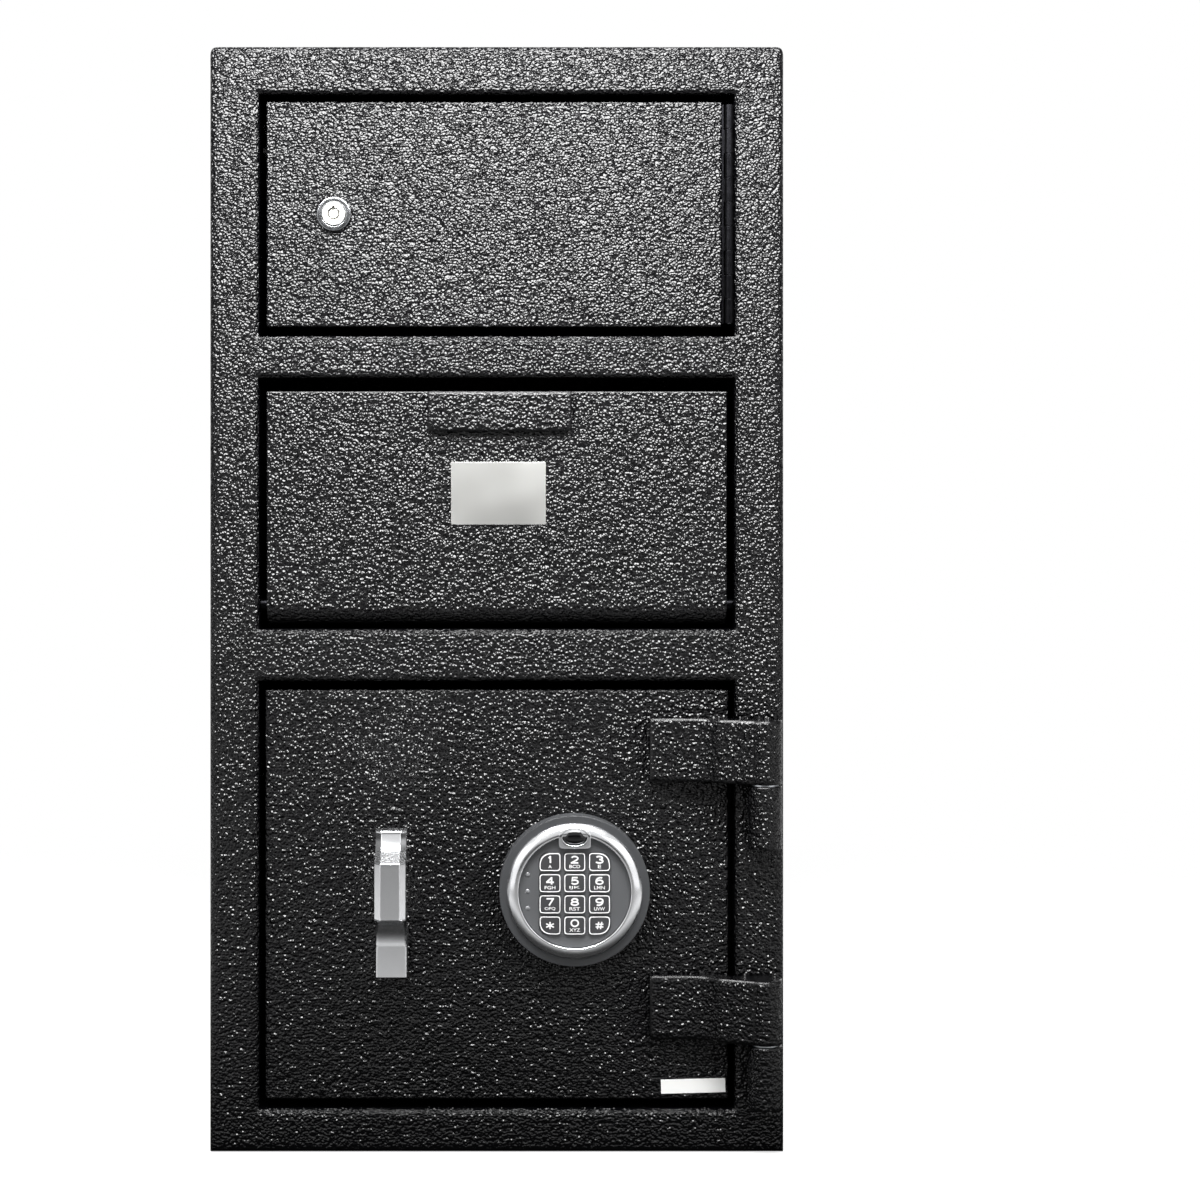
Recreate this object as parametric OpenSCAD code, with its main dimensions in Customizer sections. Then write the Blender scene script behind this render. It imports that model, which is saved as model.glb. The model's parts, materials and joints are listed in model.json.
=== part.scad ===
// Front-loading drop safe with a key locker above the deposit hopper.
// Lengths are millimetres. X runs right, Z runs up and the front faces -Y.
// Depths named "behind" are measured from the front face towards the back.

/* [Cabinet] */
// Width over the side walls
body_w = 356; // [346:1:420]
// Height from the floor to the top
body_h = 686; // [676:1:740]
// Depth from the front face to the back panel
body_d = 356; // [330:1:450]
// Thickness of the cabinet sheet
sheet_t = 3; // [2.6:0.1:3.3]
// Outside radius of the bends along the top
top_bend_r = 6; // [5:0.5:9]
// Radius of the outer edges of the front
front_edge_r = 4.5; // [3.5:0.5:6]
// Depth of the front frame's rim, back to its weld with the shell
rim_d = 12; // [10:1:20]
// Radius of the anchor holes in the base
anchor_r = 6.5; // [5:0.5:8]
// Distance between the anchor holes across the width
anchor_dx = 220; // [160:10:260]
// Distance between the anchor holes along the depth
anchor_dy = 200; // [120:10:220]

/* [Front openings] */
// Width of the borders left and right of the openings
side_border = 30.5; // [28:0.5:34]
// Height of the bar above the locker
top_bar = 29.6; // [26:0.1:36]
// Height of the bar between locker and hopper
locker_bar = 26; // [22:0.5:30]
// Height of the bar between hopper and main door
hopper_bar = 32.2; // [28:0.1:38]
// Height of the bar below the main door
bottom_bar = 26.6; // [25:0.1:34]
// Height of the locker opening
locker_open_h = 150.1; // [140:0.1:156]
// Height of the hopper opening
hopper_open_h = 156; // [152:0.5:162]
// Depth of the folded returns round the openings
return_d = 25; // [23:0.5:28]
// Radius of the bend from the front face into an opening
jamb_r = 3.4; // [2.6:0.1:4]

/* [Inside the cabinet] */
// Thickness of the chute and of the fish baffle
liner_t = 2; // [1.5:0.1:2.5]
// Slope of the chute below the hopper, in degrees
chute_slope = 20; // [16:1:22]
// Gap left between the chute's end and the back panel
drop_slot = 110; // [95:1:130]
// How far the fish baffle hangs below the locker floor
baffle_drop = 80; // [60:1:100]
// Width of one tooth of the fish baffle
tooth_w = 20; // [14:1:28]
// Height of the teeth
tooth_h = 18; // [10:1:24]

/* [Main door] */
// Thickness of the main door plate
door_t = 12; // [10:0.5:13]
// How far the doors' faces lie behind the front face
set_back = 4; // [3.5:0.1:5]
// Gap between the main door and the sides of its opening
door_gap_x = 3.7; // [3.4:0.1:4.5]
// Gap above the main door
door_gap_top = 5.5; // [4:0.1:6]
// Gap below the main door
door_gap_bottom = 5.7; // [4:0.1:7]
// Radius along the edges of the doors' faces
plate_edge_r = 1; // [0.5:0.1:1.5]

/* [Strap hinges] */
// Radius of the hinge barrels
knuckle_r = 10.4; // [10:0.1:11.5]
// Radius of the hinge pins
hinge_pin_r = 6; // [5:0.5:7]
// Gap between a barrel and the front face
barrel_gap = 0.5; // [0.4:0.1:1]
// How far a barrel lies inside the cabinet's side
barrel_inset = 3; // [0:0.1:4]
// Height of the barrel half welded to the frame
frame_knuckle_h = 38; // [30:0.5:44]
// Height of a strap and its barrel half
strap_h = 38.9; // [36:0.1:46]
// Height of the collar that carries the door between the barrel halves
collar_h = 1.2; // [0.8:0.1:4]
// Reach of a strap from the hinge axis across the door
strap_reach = 70; // [62:0.5:76]
// Thickness of a strap on the door
strap_t = 8; // [5:0.5:9]
// Length of a strap's flat end
strap_flat = 25.5; // [20:0.5:28]
// Height of the lower hinge's foot above the floor
lower_hinge_z = 31.9; // [22:0.1:38]
// Distance from the door's top edge down to the upper strap
upper_strap_drop = 17.1; // [12:0.1:24]

/* [Handle] */
// Distance of the handle's axis from the door's opening edge
handle_from_edge = 79.4; // [76:0.1:86]
// Height of the handle's axis above the door's bottom edge
handle_from_bottom = 89.7; // [80:0.1:96]
// Width of the lever
lever_w = 19; // [16:0.1:22]
// Length of the lever from its lower to its upper end
lever_len = 90.7; // [86:0.1:100]
// Height of the lever's hub block
hub_h = 18.8; // [16:0.1:22]
// How far the hub block stands off the door's face
hub_proud = 22; // [18:0.5:26]
// How far the grip stands off the door's face
grip_proud = 42; // [36:0.5:50]
// Thickness of the grip
grip_t = 15; // [12:0.5:18]
// Length of the flat on the grip
grip_flat = 34.3; // [28:0.1:38]
// Width of the bevels beside the flat
grip_bevel = 3.8; // [2:0.1:5]
// Radius of the spindle
spindle_r = 6; // [5:0.5:7]
// Angle through which the handle turns, in degrees
handle_turn = 60; // [50:1:60]

/* [Bolts and carriage] */
// Radius of the locking bolts
bolt_r = 9; // [7:0.5:10]
// Distance from the door's top and bottom edges to the outer bolts
bolt_from_edge = 46.75; // [44:0.25:52]
// Distance that the bolts are thrown
bolt_throw = 20; // [17:0.5:22]
// How far the drawn bolts stay behind the door's edge
bolt_rest_inset = 4.8; // [4:0.1:7]
// Gap between the bolts and the back of the folded returns
bolt_behind = 4; // [3:0.5:6]
// Thickness of the carriage, its flange and the guide plate
carriage_t = 5; // [4:0.5:6]
// Thickness of the crank arm
crank_t = 6; // [5:0.5:8]
// Gap between moving plates
plate_gap = 2; // [1.5:0.1:3]
// Radius of the crank pin
crank_pin_r = 3; // [2.5:0.1:4]
// Radius of the guide studs' shoulders
stud_r = 4; // [3:0.5:5]

/* [Dead bar and inner cover] */
// Thickness of the dead bar
dead_bar_t = 6; // [5:0.5:8]
// Distance from the door's top and bottom edges to the dead bar's ends
dead_bar_from_edge = 31.75; // [24:0.25:40]
// How far the dead bar hooks behind the folded return
dead_bar_hook = 4.5; // [3:0.1:5]
// Gap between the dead bar and the return, front to back
dead_bar_gap = 3; // [3:0.1:5]
// Sheet thickness of the inner cover
cover_t = 1.5; // [1:0.1:2]
// Depth of the inner cover behind the door plate
cover_d = 40; // [38:1:46]
// Width of the cover's screw flanges
cover_flange = 12; // [10:0.5:13]
// Radius of the cover screws
cover_screw_r = 2.5; // [2:0.1:3]

/* [Electronic lock] */
// Distance of the keypad's centre from the door's hinge edge
keypad_from_hinge = 95.9; // [92:0.1:100]
// Height of the keypad's centre above the door's bottom edge
keypad_from_bottom = 131.4; // [120:0.1:140]
// Outside radius of the keypad's base
pad_r = 46.4; // [45:0.1:48]
// Height of the keypad's base
pad_h = 11.5; // [11:0.5:16]
// Wall thickness of the keypad's base
pad_wall = 2.5; // [2:0.1:3]
// Outside radius of the bright ring
ring_r = 41.85; // [41:0.05:43]
// Inside radius of the bright ring
ring_in_r = 34.5; // [33.5:0.1:36]
// Height of the bright ring
ring_h = 4.5; // [3:0.1:6]
// Width of the tongue at the top of the ring
tongue_w = 19.7; // [18:0.1:21]
// Height of the tongue's end above the keypad's centre
tongue_z = 26.8; // [26.2:0.1:28]
// Width of the oval window
window_w = 15; // [12:0.5:16]
// Height of the oval window
window_h = 9.8; // [8:0.1:10.4]
// Height of the window's centre above the keypad's centre
window_z = 33.7; // [33:0.1:34.5]
// Width of a key
key_w = 13; // [11:0.1:13.4]
// Height of a key
key_h = 11.2; // [9:0.1:11.4]
// Distance between the columns of keys
key_dx = 15.2; // [14.9:0.1:16]
// Distance between the rows of keys
key_dz = 13; // [12.8:0.1:13.4]
// How far the key block's centre lies below the keypad's centre
key_drop = 1.1; // [0.5:0.1:2]
// Travel of a key
key_travel = 0.8; // [0.5:0.1:1]
// Radius of the lamps on the keypad's face
lamp_r = 1.5; // [1:0.1:2]
// Width of the lock case
lock_w = 60; // [52:1:64]
// Height of the lock case
lock_h = 85; // [74:1:90]
// Depth of the lock case
lock_d = 28; // [26:1:30]
// Travel of the lock bolt
lock_throw = 16; // [12:0.5:17]

/* [Locker door] */
// Thickness of the locker door
locker_t = 6; // [4:0.5:7]
// Gap at the locker door's opening edge
locker_gap_left = 4.3; // [3.5:0.1:5]
// Gap above the locker door
locker_gap_top = 4.4; // [3.5:0.1:5.5]
// Gap below the locker door
locker_gap_bottom = 5.9; // [4:0.1:7]
// Radius of the piano hinge's knuckles
piano_r = 2.9; // [2.6:0.1:3.1]
// Radius of the piano hinge's wire
piano_wire_r = 1.2; // [0.8:0.1:1.4]
// Sheet thickness of the piano hinge's leaves
leaf_t = 1.2; // [0.8:0.1:1.5]
// Number of knuckles along the piano hinge
piano_count = 9; // [5:2:13]
// Distance of the key lock from the door's opening edge
lock_from_edge = 42; // [38:0.5:50]
// Radius of the key lock's body
barrel_r = 9.5; // [9:0.1:10]
// Radius of the key lock's bezel
bezel_r = 10.6; // [10.4:0.1:12]
// Radius of the turning plug
plug_r = 7; // [6:0.1:7.5]
// Reach of the cam past the plug's axis
cam_reach = 56; // [54:0.5:60]

/* [Hopper] */
// Thickness of the hopper's door plate
hopper_t = 3; // [2.5:0.1:3.5]
// Radius of the plate's bend round the pivot
wrap_r = 12; // [11:0.5:14]
// Gap below the hopper door
hopper_gap_bottom = 2.5; // [2:0.1:4]
// Finger gap above the hopper door
hopper_gap_top = 8.4; // [7:0.1:12]
// Gap beside the hopper door
hopper_gap_x = 4.5; // [3.5:0.1:5.5]
// Radius of the hopper's side cheeks
cheek_r = 130; // [118:1:132]
// Sheet thickness of the cheeks and the tray
cheek_t = 2; // [1.5:0.1:2.5]
// Radius of the pivot pins
pivot_r = 4; // [3:0.5:5]
// Slope of the tray when the hopper is shut, in degrees
tray_slope = 15; // [10:1:18]
// Width of the pull tab
tab_w = 89.5; // [70:0.5:110]
// Height of the pull tab
tab_h = 24.8; // [18:0.1:30]
// Thickness of the pull tab
tab_t = 3; // [2:0.1:3.5]

/* [Hidden] */
$fn = 64;

// Radial clearance of a shaft in its hole, and a small gap between parts that slide
run_fit = 0.05;
slip = 0.3;
// Overshoot of a cutting shape past the face that it cuts
cut = 1;
// Facets along the bend into an opening, and along the curves of the straps and the lever
flare_steps = 8;
curve_steps = 12;

// Places of the openings
front_y = -body_d / 2;
half_w = body_w / 2;
open_x = half_w - side_border;
locker_z1 = body_h - top_bar;
locker_z0 = locker_z1 - locker_open_h;
hopper_z1 = locker_z0 - locker_bar;
hopper_z0 = hopper_z1 - hopper_open_h;
main_z1 = hopper_z0 - hopper_bar;
main_z0 = bottom_bar;
inner_x = half_w - sheet_t;
back_in = body_d - sheet_t;
floor_z1 = locker_z0 - sheet_t;
chute_lip = 3;
tooth_margin = 4;
foot_corner_r = 1;
back_corner_gap = 0.5;

// Main door
door_x = open_x - door_gap_x;
door_z0 = main_z0 + door_gap_bottom;
door_z1 = main_z1 - door_gap_top;
door_back = set_back + door_t;
door_zc = (door_z0 + door_z1) / 2;

// Strap hinges
hinge_x = half_w - knuckle_r - barrel_inset;
hinge_y = -knuckle_r - barrel_gap;
hinge_play = 0.2;
knuckle_gap = collar_h + 2 * hinge_play;
collar_inset = 2;
foot_inset = 1.5;
hinge_h = frame_knuckle_h + knuckle_gap + strap_h;
upper_hinge_z = door_z1 - upper_strap_drop - hinge_h;
hinge_feet = [lower_hinge_z, upper_hinge_z];
pin_cap = 4;
hollow_r = 22;
hollow_start = 90;
hollow_sweep = 47;
ridge_in = 8;
ridge_up = 7.5;

// Underside of a strap, where it leaves the door's edge
strap_under_in = 0.5;
strap_under_x = door_x - strap_under_in;
strap_under_y = -2 * barrel_gap;

// Handle and crank
handle_x = -door_x + handle_from_edge;
handle_z = door_z0 + handle_from_bottom;
lever_z0 = handle_z - hub_h / 2;
lever_z1 = lever_z0 + lever_len;
lever_gap = 1;
scoop_drop = 9;
scoop_rise = 5.6;
scoop_start = 227;
scoop_end = 192;
tip_t = 12;
tip_r = 1.5;
finger_r = 12;
back_step = 8;
crank_r = bolt_throw / (2 * sin(handle_turn / 2));
crank_y0 = door_back + plate_gap;
crank_y1 = crank_y0 + crank_t;
crank_hub_wall = 5;
crank_hub_r = spindle_r + crank_hub_wall;
crank_rim = 3;
crank_tip_rim = 4;
crank_pin_past = 2;
spindle_in = 14;

// Bolts, guide and carriage
bolt_y = return_d + bolt_behind + bolt_r;
bolt_tip = -door_x + bolt_rest_inset;
bolt_zs = [door_z0 + bolt_from_edge, door_zc, door_z1 - bolt_from_edge];
bolt_pokes = 13;
bolt_chamfer = 1.5;
bolt_rim = 3;
bolt_screw_in = 12;
guide_x0 = bolt_tip + bolt_pokes + cover_t;
guide_x1 = guide_x0 + carriage_t;
flange_x0 = guide_x1 + bolt_throw + plate_gap;
flange_x1 = flange_x0 + carriage_t;
plate_y0 = crank_y1 + plate_gap;
plate_y1 = plate_y0 + carriage_t;
guide_y1 = bolt_y + bolt_r + bolt_rim;
guide_foot = 20;
guide_foot_t = 3;
carriage_z0 = bolt_zs[0] - bolt_r - bolt_rim;
carriage_z1 = bolt_zs[2] + bolt_r + bolt_rim;
carriage_w = 66;
carriage_x1 = flange_x0 + carriage_w;
arm_half = 20;
bolt_screw_r = 3;
screw_head_h = 3.5;
screw_head_rim = 2.5;
screw_head_r = bolt_screw_r + screw_head_rim;
bolt_hole_past = 2;
stud_head_rim = 3.5;
stud_head_r = stud_r + stud_head_rim;
stud_head_t = 2;
stud_foot_rim = 2.5;
stud_foot_r = stud_r + stud_foot_rim;
stud_inset = 22;
end_stud_inset = 30;
slot_over = 1;
pin_slot_gap = 0.4;

// Electronic lock
pad_x = door_x - keypad_from_hinge;
pad_z = door_z0 + keypad_from_bottom;
pad_front = set_back - pad_h;
pad_front_t = 2;
pad_back_t = 2;
pad_hole_gap = 1;
crown_drop = 3.6;
crown_w = ring_r - ring_in_r;
crown_r = (crown_w * crown_w + crown_drop * crown_drop) / (2 * crown_drop);
ring_lip_r = 1;
tongue_step = 0.5;
tongue_in = 3;
window_seat = 2;
tongue_r = 1.2;
window_clear = 0.2;
window_dome_r = 14;
window_proud = 0.9;
face_proud = 1.5;
face_clear = 0.1;
face_y = pad_front - face_proud;
face_t = 2;
key_proud = 1.2;
key_rim = 0.6;
key_rim_t = 1;
key_back = face_y + face_t + slip + key_rim_t;
key_stem_t = 2.2;
key_stem_inset = 3;
key_small_r = 1.6;
key_big_r = 6;
board_y0 = key_back + key_stem_t + key_travel + slip;
board_t = 1.6;
board_r = 33;
cable_r = 2.5;
cable_clear = 3;
cable_hole_r = cable_r + cable_clear;
post_r = 2.5;
post_place_r = 29;
post_start = 45;
lamp_x = -28.9;
lamp_dz = 10.3;
lamp_dome_r = 2;
lamp_proud = 0.6;
lock_x0 = pad_x - lock_w / 2;
lock_x1 = pad_x + lock_w / 2;
lock_z0 = pad_z - lock_h / 2;
lock_z1 = pad_z + lock_h / 2;
lock_bolt_w = 16;
lock_bolt_t = 10;
lock_bolt_len = 26;
lock_bolt_y = plate_y0 + carriage_t / 2;
lock_case_r = 4;
lock_bolt_proud = 0.5;
carriage_end_gap = 1.5;
carriage_end = lock_x0 - carriage_end_gap;
battery_w = 26.5;
battery_h = 48.5;
battery_t = 17.5;
tray_t = 1;
battery_tray_d = 12;
battery_gap = 2;
battery_x0 = lock_x1 + battery_gap;

// Dead bar and inner cover
hook_y0 = return_d + dead_bar_gap;
hook_x1 = open_x + dead_bar_hook;
dead_bar_w = 32;
dead_bar_x0 = hook_x1 - dead_bar_w;
dead_bar_foot = 14;
cover_x0 = guide_x0 - cover_t;
cover_bar_gap = 4;
cover_x1 = dead_bar_x0 - cover_bar_gap;
cover_edge_gap = 1.5;
cover_z0 = door_z0 + cover_flange + cover_edge_gap;
cover_z1 = door_z1 - cover_flange - cover_edge_gap;
cover_y1 = door_back + cover_d;
cover_screw_inset = 40;
cover_screw_in = 6;
cover_head_rim = 2.2;
cover_head_r = cover_screw_r + cover_head_rim;
cover_head_t = 2;
cover_hole_gap = 0.5;
cover_screw_xs = [cover_x0 + cover_screw_inset, cover_x1 - cover_screw_inset];
cover_screw_zs = [cover_z0 - cover_flange / 2, cover_z1 + cover_flange / 2];

// Locker door, its hinge and its key lock
leaf_w = 11;
leaf_end_gap = 2;
leaf_gap = 0.5;
leaf_step = 0.6;
piano_side_gap = 0.2;
piano_play = 0.15;
piano_web_in = 1;
piano_x = open_x - piano_r - piano_side_gap;
piano_y = set_back;
leaf_out = piano_x - piano_r - leaf_gap;
locker_x0 = -open_x + locker_gap_left;
locker_x1 = leaf_out - leaf_t;
locker_door_z0 = locker_z0 + locker_gap_bottom;
locker_door_z1 = locker_z1 - locker_gap_top;
locker_back = set_back + locker_t;
piano_z0 = locker_door_z0 + leaf_end_gap;
piano_z1 = locker_door_z1 - leaf_end_gap;
piano_pitch = (piano_z1 - piano_z0) / piano_count;
key_lock_x = locker_x0 + lock_from_edge;
key_lock_z = (locker_door_z0 + locker_door_z1) / 2;
bezel_t = 2.5;
bezel_y0 = set_back - bezel_t;
barrel_past = 2;
barrel_y1 = return_d + barrel_past;
lock_nut_t = 5;
lock_nut_flats = 26;
plug_proud = 0.8;
keyway_post_r = 2.7;
keyway_r = 3.9;
keyway_d = 6;
notch_half = 0.7;
notch_out = 1.2;
cam_gap = 1;
cam_y0 = barrel_y1 + cam_gap;
cam_t = 3;
cam_y1 = cam_y0 + cam_t;
cam_bore_r = 4;
cam_tip_r = 8;
cam_hub_r = 10;
cam_nut_t = 4;
cam_nut_flats = 13;
plug_past = 4.5;

// Hopper
hopper_x = open_x - hopper_gap_x;
hopper_door_z0 = hopper_z0 + hopper_gap_bottom;
hopper_door_z1 = hopper_z1 - hopper_gap_top;
pivot_y = set_back + wrap_r;
pivot_z = hopper_door_z0 + wrap_r;
hopper_back = set_back + hopper_t;
lip_past = 7;
lip_y1 = return_d + lip_past;
lip_short = 1;
tray_z0 = hopper_door_z0 + hopper_t;
tray_z1 = tray_z0 + cheek_t;
tray_y0 = pivot_y + wrap_r / 2;
tray_short = 12;
tray_y2 = pivot_y + cheek_r - tray_short;
tray_fall = tan(tray_slope) * (tray_y2 - lip_y1);
cheek_inset = 3;
cheek_x = hopper_x - cheek_inset;
baffle_gap = 10;
baffle_y0 = pivot_y + cheek_r + baffle_gap;
rest_x = 122;
rest_w = 12;
rest_from_end = 12;
hopper_weld_gap = 0.1;
clip_gap = 0.4;
clip_t = 1.2;
clip_rim = 2.5;
pivot_past = 3;
tab_x = 1.7;
tab_low_r = 4;
tab_top_r = 0.5;

// Outline helpers: rectangles given by their limits, with rounded corners cut from them
module rect(x0, x1, y0, y1) {
    translate([x0, y0]) square([x1 - x0, y1 - y0]);
}

module corner_waste(x, y, sx, sy, r) {
    difference() {
        rect(min(x, x + sx * r), max(x, x + sx * r), min(y, y + sy * r), max(y, y + sy * r));
        translate([x + sx * r, y + sy * r]) circle(r);
    }
}

// Corner radii run lower left, lower right, upper right, upper left
module soft_rect(x0, x1, y0, y1, radii) {
    difference() {
        rect(x0, x1, y0, y1);
        if (radii[0] > 0) corner_waste(x0, y0, 1, 1, radii[0]);
        if (radii[1] > 0) corner_waste(x1, y0, -1, 1, radii[1]);
        if (radii[2] > 0) corner_waste(x1, y1, -1, -1, radii[2]);
        if (radii[3] > 0) corner_waste(x0, y1, 1, -1, radii[3]);
    }
}

function arc(cx, cy, r, a0, a1, n) =
    [for (i = [0:n]) let (a = a0 + (a1 - a0) * i / n) [cx + r * cos(a), cy + r * sin(a)]];

// Solids from outlines: each takes its limits along the axis that it runs along
module along_x(x0, x1) {
    translate([x0, front_y, 0]) rotate([90, 0, 90]) linear_extrude(x1 - x0) children();
}

module along_y(y0, y1) {
    translate([0, front_y + y1, 0]) rotate([90, 0, 0]) linear_extrude(y1 - y0) children();
}

module along_z(z0, z1) {
    translate([0, front_y, z0]) linear_extrude(z1 - z0) children();
}

module block(x0, x1, y0, y1, z0, z1) {
    translate([x0, front_y + y0, z0]) cube([x1 - x0, y1 - y0, z1 - z0]);
}

module rod_x(y, z, x0, x1, r) {
    translate([x0, front_y + y, z]) rotate([0, 90, 0]) cylinder(h = x1 - x0, r = r);
}

module rod_y(x, z, y0, y1, r) {
    translate([x, front_y + y0, z]) rotate([-90, 0, 0]) cylinder(h = y1 - y0, r = r);
}

module rod_z(x, y, z0, z1, r) {
    translate([x, front_y + y, z0]) cylinder(h = z1 - z0, r = r);
}

module hex_y(x, z, y0, y1, flats) {
    translate([x, front_y + y0, z])
        rotate([-90, 0, 0])
            cylinder(h = y1 - y0, r = flats / 2 / cos(30), $fn = 6);
}

// A flat plate whose front edges are eased
module eased_plate(x0, x1, y0, y1, z0, z1, r) {
    intersection() {
        along_y(y0, y1) soft_rect(x0, x1, z0, z1, [r, r, r, r]);
        along_z(z0, z1) soft_rect(x0, x1, y0, y1, [r, r, 0, 0]);
        along_x(x0, x1) soft_rect(y0, y1, z0, z1, [r, 0, 0, r]);
    }
}

// Front openings, flared by the bend radius where they meet the front face.
// The outline runs across the opening and back through the depth of its return.
function flare_points(a0, a1) = concat(
    [[a0, return_d + cut]],
    arc(a0 - jamb_r, jamb_r, jamb_r, 0, -90, flare_steps),
    [[a0 - jamb_r, -cut], [a1 + jamb_r, -cut]],
    arc(a1 + jamb_r, jamb_r, jamb_r, 270, 180, flare_steps),
    [[a1, return_d + cut]]
);

module opening_cut(z0, z1) {
    intersection() {
        along_z(z0 - jamb_r, z1 + jamb_r) polygon(flare_points(-open_x, open_x));
        along_x(-open_x - jamb_r, open_x + jamb_r)
            polygon([for (p = flare_points(z0, z1)) [p[1], p[0]]]);
    }
}

module return_outer(z0, z1) {
    block(-open_x - sheet_t, open_x + sheet_t, sheet_t, return_d, z0 - sheet_t, z1 + sheet_t);
}

module front_frame() {
    e = front_edge_r;
    color([0.13, 0.13, 0.14])
        difference() {
            union() {
                difference() {
                    intersection() {
                        along_y(0, rim_d)
                            soft_rect(-half_w, half_w, 0, body_h, [foot_corner_r, foot_corner_r, top_bend_r, top_bend_r]);
                        along_z(0, body_h) soft_rect(-half_w, half_w, 0, rim_d, [e, e, 0, 0]);
                        along_x(-half_w, half_w) soft_rect(0, rim_d, 0, body_h, [e, 0, 0, e]);
                    }
                    block(-inner_x, inner_x, sheet_t, rim_d + cut, sheet_t, body_h - sheet_t);
                }
                return_outer(locker_z0, locker_z1);
                return_outer(hopper_z0, hopper_z1);
                return_outer(main_z0, main_z1);
            }
            opening_cut(locker_z0, locker_z1);
            opening_cut(hopper_z0, hopper_z1);
            opening_cut(main_z0, main_z1);
        }
}

// Cabinet
module body_shell() {
    r = top_bend_r;
    ri = top_bend_r - sheet_t;
    color([0.13, 0.13, 0.14])
        along_y(rim_d, body_d)
            difference() {
                soft_rect(-half_w, half_w, 0, body_h, [0, 0, r, r]);
                soft_rect(-inner_x, inner_x, -cut, body_h - sheet_t, [0, 0, ri, ri]);
            }
}

module back_panel() {
    r = top_bend_r - sheet_t + back_corner_gap;
    color([0.13, 0.13, 0.14])
        along_y(back_in, body_d)
            soft_rect(-inner_x, inner_x, 0, body_h - sheet_t, [0, 0, r, r]);
}

module base_plate() {
    color([0.13, 0.13, 0.14])
        difference() {
            block(-inner_x, inner_x, rim_d, back_in, 0, sheet_t);
            for (sx = [-1, 1], sy = [-1, 1])
                translate([sx * anchor_dx / 2, sy * anchor_dy / 2, -cut])
                    cylinder(h = sheet_t + 2 * cut, r = anchor_r);
        }
}

module locker_floor() {
    color([0.15, 0.15, 0.16])
        block(-inner_x, inner_x, sheet_t, back_in, floor_z1 - sheet_t, floor_z1);
}

// A flat lip under the hopper's folded return, then a slope that ends at the drop slot
module chute_plate() {
    z = hopper_z0 - sheet_t;
    y1 = return_d + chute_lip;
    y2 = back_in - drop_slot;
    fall = (y2 - y1) * tan(chute_slope);
    color([0.16, 0.16, 0.17]) {
        along_x(-inner_x, inner_x)
            polygon([[sheet_t, z], [y1, z], [y2, z - fall], [y2, z - fall - liner_t],
                [y1, z - liner_t], [sheet_t, z - liner_t]]);
        hopper_rests(z, y1);
    }
}

// Two posts on the slope carry the end of the hopper's tray when it has fallen shut
module hopper_rests(chute_z, chute_y) {
    y1 = tray_y2 - rest_from_end;
    y0 = y1 - sheet_t;
    foot = chute_z - liner_t / 2 - (y0 - chute_y) * tan(chute_slope);
    head = tray_z0 - slip - (y1 - lip_y1) * tan(tray_slope);
    for (s = [-1, 1])
        block(s * rest_x - rest_w / 2, s * rest_x + rest_w / 2, y0, y1, foot, head);
}

module fish_baffle() {
    count = floor(2 * (inner_x - tooth_margin) / tooth_w);
    x0 = -count * tooth_w / 2;
    z1 = floor_z1 - sheet_t;
    z0 = z1 - baffle_drop;
    teeth = [for (i = [0:count - 1]) each
        [[x0 + i * tooth_w, z0], [x0 + (i + 0.5) * tooth_w, z0 - tooth_h]]];
    color([0.16, 0.16, 0.17])
        along_y(baffle_y0, baffle_y0 + liner_t)
            polygon(concat([[-inner_x, z1], [-inner_x, z0]], teeth,
                [[x0 + count * tooth_w, z0], [inner_x, z0], [inner_x, z1]]));
}

// Strap hinges of the main door
module frame_knuckles() {
    foot = knuckle_r - foot_inset;
    color([0.13, 0.13, 0.14])
        difference() {
            for (z = hinge_feet) {
                rod_z(hinge_x, hinge_y, z, z + frame_knuckle_h, knuckle_r);
                block(hinge_x - foot, hinge_x + foot, hinge_y, 0, z, z + frame_knuckle_h);
            }
            for (z = hinge_feet)
                rod_z(hinge_x, hinge_y, z - cut, z + frame_knuckle_h + cut, hinge_pin_r + run_fit);
        }
}

module hinge_pins() {
    color([0.55, 0.55, 0.56])
        for (z = hinge_feet) {
            rod_z(hinge_x, hinge_y, z, z + hinge_h - pin_cap, hinge_pin_r);
            rod_z(hinge_x, hinge_y, z + frame_knuckle_h + hinge_play,
                z + frame_knuckle_h + hinge_play + collar_h, knuckle_r - collar_inset);
        }
}

// The strap lies flat on the door, sweeps up in a hollow curve and runs into the barrel
module strap_outline() {
    top = set_back - strap_t;
    x0 = hinge_x - strap_reach;
    xc = x0 + strap_flat;
    hollow = arc(xc, top - hollow_r, hollow_r, hollow_start, hollow_start - hollow_sweep,
        curve_steps);
    polygon(concat([[x0, set_back], [x0, top]], hollow,
        [[hinge_x - ridge_in, hinge_y - ridge_up], [hinge_x, hinge_y],
            [hinge_x - knuckle_r / 2, strap_under_y], [strap_under_x, strap_under_y],
            [strap_under_x, set_back]]));
    translate([hinge_x, hinge_y]) circle(knuckle_r);
}

module hinge_strap(foot_z) {
    z0 = foot_z + frame_knuckle_h + knuckle_gap;
    color([0.13, 0.13, 0.14])
        difference() {
            along_z(z0, z0 + strap_h) strap_outline();
            rod_z(hinge_x, hinge_y, z0 - cut, z0 + strap_h - pin_cap + slip,
                hinge_pin_r + run_fit);
        }
}

module lower_hinge_strap() {
    hinge_strap(hinge_feet[0]);
}

module upper_hinge_strap() {
    hinge_strap(hinge_feet[1]);
}

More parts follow.
